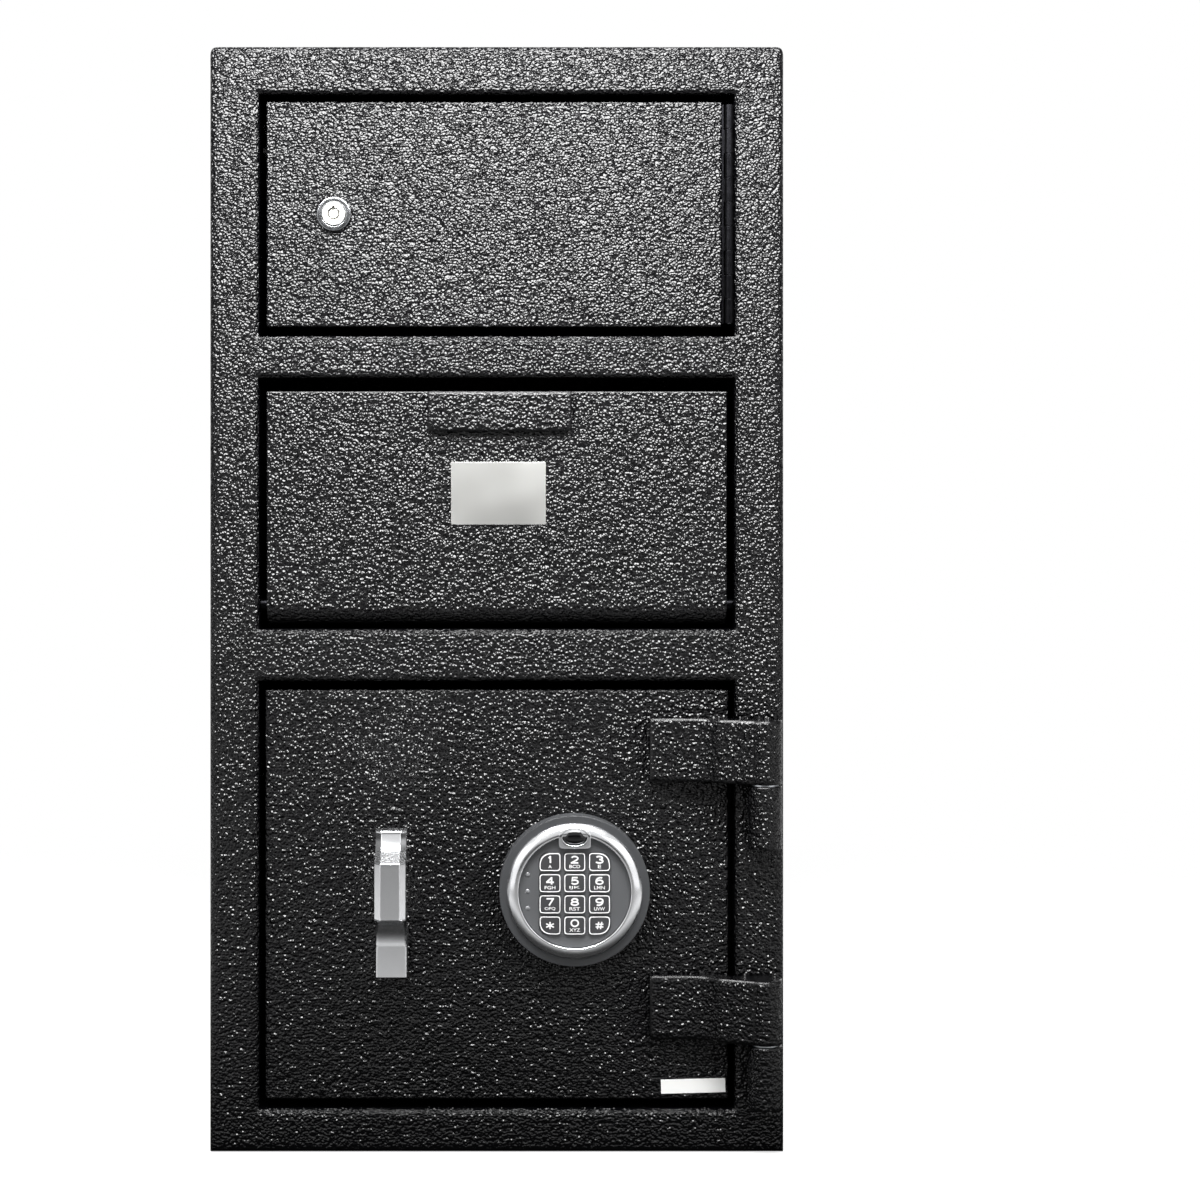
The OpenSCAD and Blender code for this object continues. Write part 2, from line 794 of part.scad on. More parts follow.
// Main door
module main_door_plate() {
    color([0.13, 0.13, 0.14])
        difference() {
            eased_plate(-door_x, door_x, set_back, door_back, door_z0, door_z1, plate_edge_r);
            rod_y(handle_x, handle_z, set_back - cut, door_back + cut, spindle_r + run_fit);
            rod_y(pad_x, pad_z, set_back - cut, door_back + cut, cable_hole_r);
            for (x = cover_screw_xs, z = cover_screw_zs)
                rod_y(x, z, door_back - cover_screw_in - cut, door_back + cut,
                    cover_screw_r + run_fit);
        }
}

module dead_bar() {
    y1 = hook_y0 + dead_bar_t;
    x0 = dead_bar_x0;
    x1 = dead_bar_x0 + dead_bar_foot;
    color([0.5, 0.5, 0.52])
        along_z(door_z0 + dead_bar_from_edge, door_z1 - dead_bar_from_edge)
            polygon([[x0, door_back], [x1, door_back], [x1, hook_y0], [hook_x1, hook_y0],
                [hook_x1, y1], [x1 - dead_bar_t, y1],
                [x1 - dead_bar_t, door_back + dead_bar_t], [x0, door_back + dead_bar_t]]);
}

// An angle with a hole for each bolt
module bolt_guide() {
    color([0.6, 0.6, 0.62])
        difference() {
            along_z(carriage_z0, carriage_z1)
                polygon([[guide_x0, door_back], [guide_x1 + guide_foot, door_back],
                    [guide_x1 + guide_foot, door_back + guide_foot_t],
                    [guide_x1, door_back + guide_foot_t], [guide_x1, guide_y1],
                    [guide_x0, guide_y1]]);
            for (z = bolt_zs) rod_x(bolt_y, z, guide_x0 - cut, guide_x1 + cut, bolt_r + run_fit);
        }
}

// Studs that ride in the carriage's slots, as [x, z]
function stud_places() = [
    [flange_x1 + stud_inset + bolt_throw / 2, carriage_z0 + stud_inset],
    [flange_x1 + stud_inset + bolt_throw / 2, carriage_z1 - stud_inset],
    [carriage_end - end_stud_inset, pad_z]
];

module guide_studs() {
    color([0.62, 0.62, 0.64])
        for (p = stud_places()) {
            rod_y(p[0], p[1], door_back, plate_y1 + slip + stud_head_t, stud_r);
            rod_y(p[0], p[1], door_back, plate_y0 - slip, stud_foot_r);
            rod_y(p[0], p[1], plate_y1 + slip, plate_y1 + slip + stud_head_t, stud_head_r);
        }
}

module inner_cover() {
    color([0.2, 0.2, 0.21])
        difference() {
            union() {
                block(cover_x0, cover_x1, door_back, cover_y1, cover_z0, cover_z1);
                for (z = [cover_z0 - cover_flange, cover_z1])
                    block(cover_x0, cover_x1, door_back, door_back + cover_t, z, z + cover_flange);
            }
            block(cover_x0 + cover_t, cover_x1 - cover_t, door_back - cut, cover_y1 - cover_t,
                cover_z0 + cover_t, cover_z1 - cover_t);
            for (z = bolt_zs)
                rod_x(bolt_y, z, cover_x0 - cut, cover_x0 + cover_t + cut,
                    bolt_r + cover_hole_gap);
            for (x = cover_screw_xs, z = cover_screw_zs)
                rod_y(x, z, door_back - cut, door_back + cover_t + cut, cover_screw_r + slip);
        }
}

module cover_screws() {
    y = door_back + cover_t;
    color([0.65, 0.65, 0.66])
        for (x = cover_screw_xs, z = cover_screw_zs) {
            rod_y(x, z, door_back - cover_screw_in, y, cover_screw_r);
            rod_y(x, z, y, y + cover_head_t, cover_head_r);
        }
}

// Handle: the lever's outline is drawn as distance off the door and height
function lever_outline() =
    let (
        r = grip_proud - hub_proud,
        za = lever_z0 + hub_h,
        zb = za + r,
        zc = zb + grip_flat,
        back = grip_proud - grip_t,
        lip_z = zc + scoop_rise,
        scoop_r = (lever_z1 - tip_r - lip_z) / (sin(scoop_end) - sin(scoop_start)),
        scoop_y = grip_proud - scoop_drop - scoop_r * cos(scoop_start),
        scoop_z = lip_z - scoop_r * sin(scoop_start),
        tip = scoop_y + scoop_r * cos(scoop_end)
    )
    concat(
        [[lever_gap, lever_z0], [hub_proud, lever_z0]],
        arc(grip_proud, za, r, 180, 90, curve_steps),
        [[grip_proud, zc]],
        arc(scoop_y, scoop_z, scoop_r, scoop_start, scoop_end, curve_steps),
        arc(tip - tip_r, lever_z1 - tip_r, tip_r, 0, 90, curve_steps / 3),
        [[tip - tip_t, lever_z1], [tip - tip_t, zc + back_step / 2], [back, zc - back_step]],
        arc(back - finger_r, zb + finger_r / 3, finger_r, 0, -90, curve_steps),
        [[lever_gap, zb + finger_r / 3 - finger_r]]
    );

module handle_lever() {
    za = lever_z0 + hub_h + grip_proud - hub_proud;
    zb = za + grip_flat;
    x0 = handle_x - lever_w / 2;
    x1 = handle_x + lever_w / 2;
    f = set_back - grip_proud;
    color([0.85, 0.85, 0.86])
        difference() {
            along_x(x0, x1)
                translate([set_back, 0]) mirror([1, 0]) polygon(lever_outline());
            along_z(za - cut, zb)
                for (s = [[x0, 1], [x1, -1]])
                    polygon([[s[0] - s[1], f - cut], [s[0] + s[1] * grip_bevel, f - cut],
                        [s[0] + s[1] * grip_bevel, f], [s[0], f + grip_bevel],
                        [s[0] - s[1], f + grip_bevel]]);
            rod_y(handle_x, handle_z, set_back - spindle_in - slip, set_back,
                spindle_r + run_fit);
        }
}

module handle_spindle() {
    color([0.6, 0.6, 0.62])
        rod_y(handle_x, handle_z, set_back - spindle_in, crank_y1, spindle_r);
}

module crank_arm() {
    a = handle_turn / 2;
    px = handle_x + crank_r * sin(a);
    pz = handle_z + crank_r * cos(a);
    color([0.58, 0.58, 0.6]) {
        difference() {
            union() {
                rod_y(handle_x, handle_z, crank_y0, crank_y1, crank_hub_r);
                rod_y(px, pz, crank_y0, crank_y1, crank_pin_r + crank_tip_rim);
                translate([handle_x, front_y + crank_y0, handle_z])
                    rotate([0, a, 0])
                        translate([-crank_pin_r - crank_rim, 0, 0])
                            cube([2 * (crank_pin_r + crank_rim), crank_t, crank_r]);
            }
            rod_y(handle_x, handle_z, crank_y0 - cut, crank_y1 + cut, spindle_r + run_fit);
        }
        rod_y(px, pz, crank_y1, plate_y1 + crank_pin_past, crank_pin_r);
    }
}

// Bolt carriage: a plate with an arm towards the lock, and a flange that holds the bolts
module slot_cut(x0, x1, z0, z1, r) {
    along_y(plate_y0 - cut, plate_y1 + cut) {
        if (x1 > x0) rect(x0, x1, z0 - r, z1 + r);
        if (z1 > z0) rect(x0 - r, x1 + r, z0, z1);
        for (x = [x0, x1], z = [z0, z1]) translate([x, z]) circle(r);
    }
}

module carriage_plate() {
    pin_low = handle_z + crank_r * cos(handle_turn / 2) - slot_over;
    pin_high = handle_z + crank_r + slot_over;
    pin_x = handle_x + crank_r * sin(handle_turn / 2);
    color([0.62, 0.62, 0.64])
        difference() {
            union() {
                block(flange_x0, carriage_x1, plate_y0, plate_y1, carriage_z0, carriage_z1);
                block(flange_x0, carriage_end, plate_y0, plate_y1, pad_z - arm_half,
                    pad_z + arm_half);
                block(flange_x0, flange_x1, plate_y0, guide_y1, carriage_z0, carriage_z1);
            }
            slot_cut(pin_x, pin_x, pin_low, pin_high, crank_pin_r + pin_slot_gap);
            for (p = stud_places())
                slot_cut(p[0] - slot_over, p[0] + bolt_throw + slot_over, p[1], p[1],
                    stud_r + slip);
            for (z = bolt_zs)
                rod_x(bolt_y, z, flange_x0 - cut, flange_x1 + cut, bolt_screw_r + slip);
        }
}

module locking_bolts() {
    hole = bolt_screw_in + bolt_hole_past;
    c = bolt_chamfer;
    color([0.7, 0.7, 0.72])
        for (z = bolt_zs)
            difference() {
                union() {
                    rod_x(bolt_y, z, bolt_tip + c, flange_x0, bolt_r);
                    translate([bolt_tip, front_y + bolt_y, z])
                        rotate([0, 90, 0])
                            cylinder(h = c, r1 = bolt_r - c, r2 = bolt_r);
                }
                rod_x(bolt_y, z, flange_x0 - hole, flange_x0 + cut, bolt_screw_r + run_fit);
            }
}

module bolt_screws() {
    color([0.5, 0.5, 0.52])
        for (z = bolt_zs) {
            rod_x(bolt_y, z, flange_x0 - bolt_screw_in, flange_x1, bolt_screw_r);
            rod_x(bolt_y, z, flange_x1, flange_x1 + screw_head_h, screw_head_r);
        }
}

// Electronic lock
module lock_bolt_shape(grow) {
    block(lock_x0 - lock_bolt_proud, lock_x0 + lock_bolt_len + (grow > 0 ? lock_throw : 0),
        lock_bolt_y - lock_bolt_t / 2 - grow, lock_bolt_y + lock_bolt_t / 2 + grow,
        pad_z - lock_bolt_w / 2 - grow, pad_z + lock_bolt_w / 2 + grow);
}

module lock_case() {
    color([0.5, 0.5, 0.53])
        difference() {
            along_y(door_back, door_back + lock_d)
                soft_rect(lock_x0, lock_x1, lock_z0, lock_z1,
                    [lock_case_r, lock_case_r, lock_case_r, lock_case_r]);
            lock_bolt_shape(slip);
        }
}

module lock_bolt() {
    color([0.8, 0.7, 0.4]) lock_bolt_shape(0);
}

module battery_tray() {
    x0 = battery_x0;
    x1 = x0 + battery_w + 2 * tray_t + 2 * slip;
    z0 = pad_z - battery_h / 2;
    color([0.25, 0.25, 0.26])
        difference() {
            block(x0, x1, door_back, door_back + battery_tray_d, z0 - tray_t,
                z0 + battery_h + tray_t);
            block(x0 + tray_t, x1 - tray_t, door_back + tray_t, door_back + battery_t + cut,
                z0, z0 + battery_h);
        }
}

module battery() {
    x0 = battery_x0 + tray_t + slip;
    y0 = door_back + tray_t + slip;
    z0 = pad_z - battery_h / 2;
    color([0.2, 0.22, 0.26])
        block(x0, x0 + battery_w, y0, y0 + battery_t, z0 + slip, z0 + battery_h - slip);
}

module lock_cable() {
    color([0.1, 0.1, 0.1]) rod_y(pad_x, pad_z, board_y0 + board_t, door_back, cable_r);
}

module keypad_base() {
    color([0.36, 0.36, 0.37])
        difference() {
            union() {
                difference() {
                    rod_y(pad_x, pad_z, pad_front, set_back, pad_r);
                    rod_y(pad_x, pad_z, pad_front - cut, pad_front + pad_front_t,
                        ring_in_r + pad_hole_gap);
                    rod_y(pad_x, pad_z, pad_front + pad_front_t, set_back - pad_back_t,
                        pad_r - pad_wall);
                }
                for (i = [0:3])
                    let (a = post_start + i * 90)
                        rod_y(pad_x + post_place_r * cos(a), pad_z + post_place_r * sin(a),
                            board_y0 + board_t, set_back - pad_back_t, post_r);
            }
            rod_y(pad_x, pad_z, set_back - pad_back_t - cut, set_back + cut, cable_hole_r);
        }
}

module oval(grow) {
    n = 40;
    a = window_w / 2 + grow;
    b = window_h / 2 + grow;
    polygon([for (i = [0:n - 1]) [a * cos(360 * i / n), b * sin(360 * i / n)]]);
}

module tongue(grow) {
    w = tongue_w / 2 + grow;
    z = tongue_z - grow;
    soft_rect(-w, w, z, ring_in_r + tongue_in, [tongue_r, tongue_r, 0, 0]);
}

// The ring's crown is highest at its inner edge and falls outwards in a broad round
module keypad_bezel() {
    color([0.85, 0.85, 0.86])
        translate([pad_x, front_y + pad_front, pad_z])
            rotate([90, 0, 0])
                difference() {
                    union() {
                        rotate_extrude()
                            intersection() {
                                soft_rect(ring_in_r, ring_r, 0, ring_h, [0, 0, 0, ring_lip_r]);
                                translate([ring_in_r, ring_h - crown_r]) circle(crown_r);
                            }
                        translate([0, 0, tongue_step])
                            linear_extrude(ring_h - 2 * tongue_step) tongue(0);
                    }
                    translate([0, window_z, window_seat])
                        linear_extrude(ring_h) oval(window_clear);
                }
}

module key_outline(i, grow) {
    col = i % 3;
    row = floor(i / 3);
    r = key_small_r + grow;
    big = key_big_r + grow;
    w = key_w / 2 + grow;
    h = key_h / 2 + grow;
    x = (col - 1) * key_dx;
    z = (1.5 - row) * key_dz - key_drop;
    soft_rect(x - w, x + w, z - h, z + h, [
        col == 0 && row == 3 ? big : r,
        col == 2 && row == 3 ? big : r,
        col == 2 && row == 0 ? big : r,
        col == 0 && row == 0 ? big : r
    ]);
}

function lamp_places() = [for (i = [-1, 0, 1]) [lamp_x, i * lamp_dz]];

module on_pad(y0, y1) {
    translate([pad_x, 0, pad_z]) along_y(y0, y1) children();
}

module keypad_face() {
    color([0.32, 0.32, 0.33])
        difference() {
            on_pad(face_y, face_y + face_t)
                difference() {
                    circle(ring_in_r - face_clear);
                    tongue(face_clear);
                }
            for (i = [0:11]) on_pad(face_y - cut, face_y + face_t + cut) key_outline(i, slip);
            for (p = lamp_places())
                rod_y(pad_x + p[0], pad_z + p[1], face_y - cut, face_y + face_t + cut,
                    lamp_r + run_fit);
        }
}

module keypad_key(i) {
    color([0.3, 0.3, 0.31]) {
        on_pad(face_y - key_proud, face_y + face_t + slip) key_outline(i, 0);
        on_pad(face_y + face_t + slip, key_back) key_outline(i, key_rim);
        on_pad(key_back, key_back + key_stem_t) key_outline(i, -key_stem_inset);
    }
}

module keypad_window() {
    y = pad_front - ring_h - window_proud;
    color([0.03, 0.03, 0.03])
        intersection() {
            translate([0, 0, window_z]) on_pad(y - cut, pad_front - window_seat) oval(0);
            translate([pad_x, front_y + y + window_dome_r, pad_z + window_z])
                sphere(window_dome_r);
        }
}

module keypad_lamps() {
    color([0.6, 0.6, 0.6])
        for (p = lamp_places()) {
            rod_y(pad_x + p[0], pad_z + p[1], face_y, board_y0, lamp_r);
            intersection() {
                translate([pad_x + p[0], front_y + face_y - lamp_proud + lamp_dome_r,
                    pad_z + p[1]])
                    sphere(lamp_dome_r);
                rod_y(pad_x + p[0], pad_z + p[1], face_y - cut, face_y, lamp_r);
            }
        }
}

module keypad_board() {
    color([0.1, 0.3, 0.16]) rod_y(pad_x, pad_z, board_y0, board_y0 + board_t, board_r);
}

module key_1() { keypad_key(0); }
module key_2() { keypad_key(1); }
module key_3() { keypad_key(2); }
module key_4() { keypad_key(3); }
module key_5() { keypad_key(4); }
module key_6() { keypad_key(5); }
module key_7() { keypad_key(6); }
module key_8() { keypad_key(7); }
module key_9() { keypad_key(8); }
module key_star() { keypad_key(9); }
module key_0() { keypad_key(10); }
module key_hash() { keypad_key(11); }

// Locker door on its piano hinge: even knuckles belong to the frame, odd ones to the door
module locker_door_plate() {
    color([0.13, 0.13, 0.14])
        difference() {
            eased_plate(locker_x0, locker_x1, set_back, locker_back, locker_door_z0,
                locker_door_z1, plate_edge_r);
            rod_y(key_lock_x, key_lock_z, set_back - cut, locker_back + cut, barrel_r + run_fit);
        }
}

module knuckle(i, web_x0, web_x1, web_y0, web_y1) {
    z0 = piano_z0 + i * piano_pitch + piano_play;
    z1 = z0 + piano_pitch - 2 * piano_play;
    rod_z(piano_x, piano_y, z0, z1, piano_r);
    block(web_x0, web_x1, web_y0, web_y1, z0, z1);
}

module wire_cut() {
    rod_z(piano_x, piano_y, piano_z0 - cut, piano_z1 + cut, piano_wire_r + run_fit);
}

module locker_door_leaf() {
    y0 = piano_y;
    color([0.2, 0.2, 0.21])
        difference() {
            union() {
                block(leaf_out - leaf_t, leaf_out, y0, y0 + leaf_w, piano_z0, piano_z1);
                for (i = [1:2:piano_count - 2])
                    knuckle(i, leaf_out - leaf_t, piano_x, y0, y0 + leaf_t);
            }
            wire_cut();
        }
}

module locker_frame_leaf() {
    y0 = piano_y + piano_r + leaf_step;
    color([0.2, 0.2, 0.21])
        difference() {
            union() {
                block(open_x - leaf_t, open_x, y0, y0 + leaf_w, piano_z0, piano_z1);
                for (i = [0:2:piano_count - 1])
                    knuckle(i, open_x - leaf_t, open_x, piano_y, y0 + piano_web_in);
            }
            wire_cut();
        }
}

module locker_hinge_wire() {
    color([0.6, 0.6, 0.6])
        rod_z(piano_x, piano_y, piano_z0, piano_z1, piano_wire_r);
}

module lock_barrel() {
    color([0.45, 0.45, 0.46])
        difference() {
            union() {
                rod_y(key_lock_x, key_lock_z, bezel_y0, set_back, bezel_r);
                rod_y(key_lock_x, key_lock_z, set_back, barrel_y1, barrel_r);
            }
            rod_y(key_lock_x, key_lock_z, bezel_y0 - cut, barrel_y1 + cut, plug_r + run_fit);
        }
}

module lock_nut() {
    color([0.6, 0.6, 0.62])
        difference() {
            hex_y(key_lock_x, key_lock_z, locker_back, locker_back + lock_nut_t, lock_nut_flats);
            rod_y(key_lock_x, key_lock_z, locker_back - cut, locker_back + lock_nut_t + cut,
                barrel_r + run_fit);
        }
}

// The plug has a ring-shaped keyway with a round post in its middle
module lock_plug() {
    y0 = bezel_y0 - plug_proud;
    y1 = y0 + keyway_d;
    color([0.82, 0.82, 0.83])
        difference() {
            union() {
                rod_y(key_lock_x, key_lock_z, y0, cam_y0, plug_r);
                rod_y(key_lock_x, key_lock_z, cam_y0, cam_y1 + plug_past, cam_bore_r - run_fit);
            }
            difference() {
                rod_y(key_lock_x, key_lock_z, y0 - cut, y1, keyway_r);
                rod_y(key_lock_x, key_lock_z, y0 - 2 * cut, y1 + cut, keyway_post_r);
            }
            block(key_lock_x - notch_half, key_lock_x + notch_half, y0 - cut, y1,
                key_lock_z + keyway_post_r - notch_half, key_lock_z + keyway_r + notch_out);
        }
}

module lock_cam() {
    color([0.7, 0.7, 0.72])
        difference() {
            union() {
                rod_y(key_lock_x, key_lock_z, cam_y0, cam_y1, cam_hub_r);
                block(key_lock_x - cam_tip_r, key_lock_x + cam_tip_r, cam_y0, cam_y1,
                    key_lock_z - cam_reach + cam_tip_r, key_lock_z);
                rod_y(key_lock_x, key_lock_z - cam_reach + cam_tip_r, cam_y0, cam_y1, cam_tip_r);
            }
            rod_y(key_lock_x, key_lock_z, cam_y0 - cut, cam_y1 + cut, cam_bore_r);
        }
}

module cam_nut() {
    color([0.6, 0.6, 0.62])
        difference() {
            hex_y(key_lock_x, key_lock_z, cam_y1, cam_y1 + cam_nut_t, cam_nut_flats);
            rod_y(key_lock_x, key_lock_z, cam_y1 - cut, cam_y1 + cam_nut_t + cut, cam_bore_r);
        }
}

// Hopper: one bent plate makes the door, the wrap under the pivot and a lip behind it
module hopper_door() {
    color([0.13, 0.13, 0.14])
        along_x(-hopper_x, hopper_x) {
            rect(set_back, hopper_back, pivot_z, hopper_door_z1);
            intersection() {
                translate([pivot_y, pivot_z])
                    difference() {
                        circle(wrap_r);
                        circle(wrap_r - hopper_t);
                    }
                rect(set_back, pivot_y, hopper_door_z0, pivot_z);
            }
            rect(pivot_y, lip_y1 - lip_short, hopper_door_z0, tray_z0);
        }
}

module hopper_cheeks() {
    y3 = 2 * cheek_r;
    z3 = tray_z1 - (y3 - lip_y1) * tan(tray_slope);
    color([0.15, 0.15, 0.16])
        difference() {
            for (x = [-cheek_x, cheek_x - cheek_t])
                along_x(x, x + cheek_t)
                    intersection() {
                        translate([pivot_y, pivot_z]) circle(cheek_r);
                        union() {
                            rect(hopper_back, y3, pivot_z, pivot_z + cheek_r + cut);
                            polygon([[tray_y0, tray_z1], [lip_y1, tray_z1], [y3, z3],
                                [y3, pivot_z], [tray_y0, pivot_z]]);
                            translate([pivot_y, pivot_z])
                                circle(wrap_r - hopper_t - hopper_weld_gap);
                        }
                    }
            for (x = [-cheek_x, cheek_x - cheek_t])
                rod_x(pivot_y, pivot_z, x - cut, x + cheek_t + cut, pivot_r + run_fit);
        }
}

module hopper_tray() {
    color([0.15, 0.15, 0.16])
        along_x(-cheek_x, cheek_x)
            polygon([[tray_y0, tray_z0], [lip_y1, tray_z0], [tray_y2, tray_z0 - tray_fall],
                [tray_y2, tray_z1 - tray_fall], [lip_y1, tray_z1], [tray_y0, tray_z1]]);
}

module hopper_pins() {
    clip_x = cheek_x - cheek_t - clip_gap;
    color([0.75, 0.75, 0.76])
        for (s = [-1, 1]) {
            rod_x(pivot_y, pivot_z, min(s * open_x, s * (clip_x - pivot_past)),
                max(s * open_x, s * (clip_x - pivot_past)), pivot_r);
            rod_x(pivot_y, pivot_z, min(s * clip_x, s * (clip_x - clip_t)),
                max(s * clip_x, s * (clip_x - clip_t)), pivot_r + clip_rim);
        }
}

module pull_tab() {
    color([0.13, 0.13, 0.14])
        along_y(set_back - tab_t, set_back)
            soft_rect(tab_x - tab_w / 2, tab_x + tab_w / 2, hopper_door_z1 - tab_h,
                hopper_door_z1, [tab_low_r, tab_low_r, tab_top_r, tab_top_r]);
}

body_shell();
front_frame();
back_panel();
base_plate();
locker_floor();
chute_plate();
fish_baffle();
frame_knuckles();
hinge_pins();
locker_frame_leaf();
locker_hinge_wire();
hopper_pins();
main_door_plate();
upper_hinge_strap();
lower_hinge_strap();
dead_bar();
bolt_guide();
guide_studs();
inner_cover();
cover_screws();
lock_case();
battery_tray();
battery();
lock_cable();
keypad_base();
keypad_bezel();
keypad_face();
keypad_window();
keypad_lamps();
keypad_board();
key_1();
key_2();
key_3();
key_4();
key_5();
key_6();
key_7();
key_8();
key_9();
key_star();
key_0();
key_hash();
handle_lever();
handle_spindle();
crank_arm();
carriage_plate();
locking_bolts();
bolt_screws();
lock_bolt();
locker_door_plate();
locker_door_leaf();
lock_barrel();
lock_nut();
lock_plug();
lock_cam();
cam_nut();
hopper_door();
hopper_cheeks();
hopper_tray();
pull_tab();
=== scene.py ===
"""Looks of a front-loading drop safe: a finish for every CAD piece, and the pieces whose
surface shows more than the CAD has. Objects are in metres. Shapes are worked out in
millimetres and scaled where they become meshes. X is right, Z is up, the front faces -Y."""
import json
import math

import bmesh
import bpy
import numpy as np
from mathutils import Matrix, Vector


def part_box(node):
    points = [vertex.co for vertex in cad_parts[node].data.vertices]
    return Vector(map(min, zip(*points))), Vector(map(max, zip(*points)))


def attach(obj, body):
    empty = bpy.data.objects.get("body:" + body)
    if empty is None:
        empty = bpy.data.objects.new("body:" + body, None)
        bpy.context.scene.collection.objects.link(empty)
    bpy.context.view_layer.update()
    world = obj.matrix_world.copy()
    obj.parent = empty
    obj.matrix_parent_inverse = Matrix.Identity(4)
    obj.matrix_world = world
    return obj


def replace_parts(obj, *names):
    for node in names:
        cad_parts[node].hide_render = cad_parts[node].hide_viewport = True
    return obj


MM = 0.001
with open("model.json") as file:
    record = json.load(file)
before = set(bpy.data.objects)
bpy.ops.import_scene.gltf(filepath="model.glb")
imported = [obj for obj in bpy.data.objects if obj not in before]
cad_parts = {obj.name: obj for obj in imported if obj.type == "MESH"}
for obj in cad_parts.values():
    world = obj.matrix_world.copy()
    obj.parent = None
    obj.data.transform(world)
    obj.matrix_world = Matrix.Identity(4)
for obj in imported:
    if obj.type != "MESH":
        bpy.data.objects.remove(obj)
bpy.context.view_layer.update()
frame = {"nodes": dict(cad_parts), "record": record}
nodes = frame["nodes"]


# Materials

def colour(hex6):
    """An sRGB hex value as the linear colour that a shader takes."""
    c = np.array([int(hex6[i:i + 2], 16) for i in (0, 2, 4)]) / 255
    return (*np.where(c <= 0.04045, c / 12.92, ((c + 0.055) / 1.055) ** 2.4), 1.0)


def add(tree, kind, inputs=None, **settings):
    """Adds one node. `settings` are its properties. `inputs` gives each socket a value, or
    the output of another node that it is linked to."""
    made = tree.nodes.new(kind)
    for name, value in settings.items():
        setattr(made, name, value)
    for name, value in (inputs or {}).items():
        if isinstance(value, bpy.types.NodeSocket):
            tree.links.new(value, made.inputs[name])
        else:
            made.inputs[name].default_value = value
    return made


def blank(name):
    """A new, empty material: (material, its tree, its Object coordinates)."""
    material = bpy.data.materials.new(name)
    material.use_nodes = True
    tree = material.node_tree
    tree.nodes.clear()
    return material, tree, add(tree, "ShaderNodeTexCoord").outputs["Object"]


PEBBLE_MM, SWELL_MM, COAT_RISE_MM = 1.7, 2.4, 1.02


def powder_coat(name, edge_mm):
    """Epoxy powder coat with a hammer texture, over sheet whose edges are eased by
    `edge_mm`. The resin draws together into glossy pebbles, and a longer swell tilts them,
    so the near-black surface shows white specks wherever a pebble's upper slope meets the
    light. Over an edge the coat draws thin: the pebbles flatten, and the edge shows as a
    clean line, bright where it faces up and dark where it faces away. Cured epoxy has an
    IOR of 1.5. It is 1.4 here, so that the hollows between the pebbles stay black."""
    material, tree, place = blank(name)
    pebbles = add(tree, "ShaderNodeTexVoronoi", {
        "Vector": place, "Scale": 1 / (PEBBLE_MM * MM), "Smoothness": 0.12,
        "Randomness": 0.9}, feature="SMOOTH_F1")
    swell = add(tree, "ShaderNodeTexNoise", {
        "Vector": place, "Scale": 1 / (SWELL_MM * MM), "Detail": 0.0})
    height = add(tree, "ShaderNodeMath", {
        0: swell.outputs["Fac"], 1: 1.3, 2: pebbles.outputs["Distance"]},
        operation="MULTIPLY_ADD")
    edges = add(tree, "ShaderNodeBevel", {"Radius": edge_mm * MM}, samples=12)
    sheet = add(tree, "ShaderNodeNewGeometry")
    flatness = add(tree, "ShaderNodeVectorMath", {
        0: edges.outputs[0], 1: sheet.outputs["True Normal"]}, operation="DOT_PRODUCT")
    thickness = add(tree, "ShaderNodeMapRange", {
        "Value": flatness.outputs["Value"], "From Min": 0.88})
    relief = add(tree, "ShaderNodeBump", {
        "Strength": thickness.outputs[0], "Distance": COAT_RISE_MM * MM,
        "Height": height.outputs[0], "Normal": edges.outputs[0]}, invert=True)
    shader = add(tree, "ShaderNodeBsdfPrincipled", {
        "Base Color": colour("030304"), "Roughness": 0.1, "IOR": 1.4,
        "Normal": relief.outputs[0]})
    add(tree, "ShaderNodeOutputMaterial", {"Surface": shader.outputs[0]})
    return material


def bare_metal(name, tint, rough, patch_mm, grain_mm, along, edge_mm):
    """A bare metal: its roughness drifts in patches, and its grain is a fine noise drawn
    out along the axes whose factor in `along` is below 1."""
    material, tree, place = blank(name)
    patches = add(tree, "ShaderNodeTexNoise", {
        "Vector": place, "Scale": 1 / (patch_mm * MM), "Detail": 2.0})
    dullness = add(tree, "ShaderNodeMapRange", {
        "Value": patches.outputs["Fac"], "From Min": 0.3, "From Max": 0.7,
        "To Min": rough * 0.85, "To Max": rough * 1.15})
    lines = add(tree, "ShaderNodeMapping", {"Vector": place, "Scale": along})
    grain = add(tree, "ShaderNodeTexNoise", {
        "Vector": lines.outputs[0], "Scale": 1 / (grain_mm * MM), "Detail": 3.0})
    edges = add(tree, "ShaderNodeBevel", {"Radius": edge_mm * MM}, samples=4)
    relief = add(tree, "ShaderNodeBump", {
        "Height": grain.outputs["Fac"], "Distance": 0.008 * MM, "Normal": edges.outputs[0]})
    shader = add(tree, "ShaderNodeBsdfPrincipled", {
        "Base Color": colour(tint), "Metallic": 1.0, "Roughness": dullness.outputs[0],
        "Normal": relief.outputs[0]})
    add(tree, "ShaderNodeOutputMaterial", {"Surface": shader.outputs[0]})
    return material


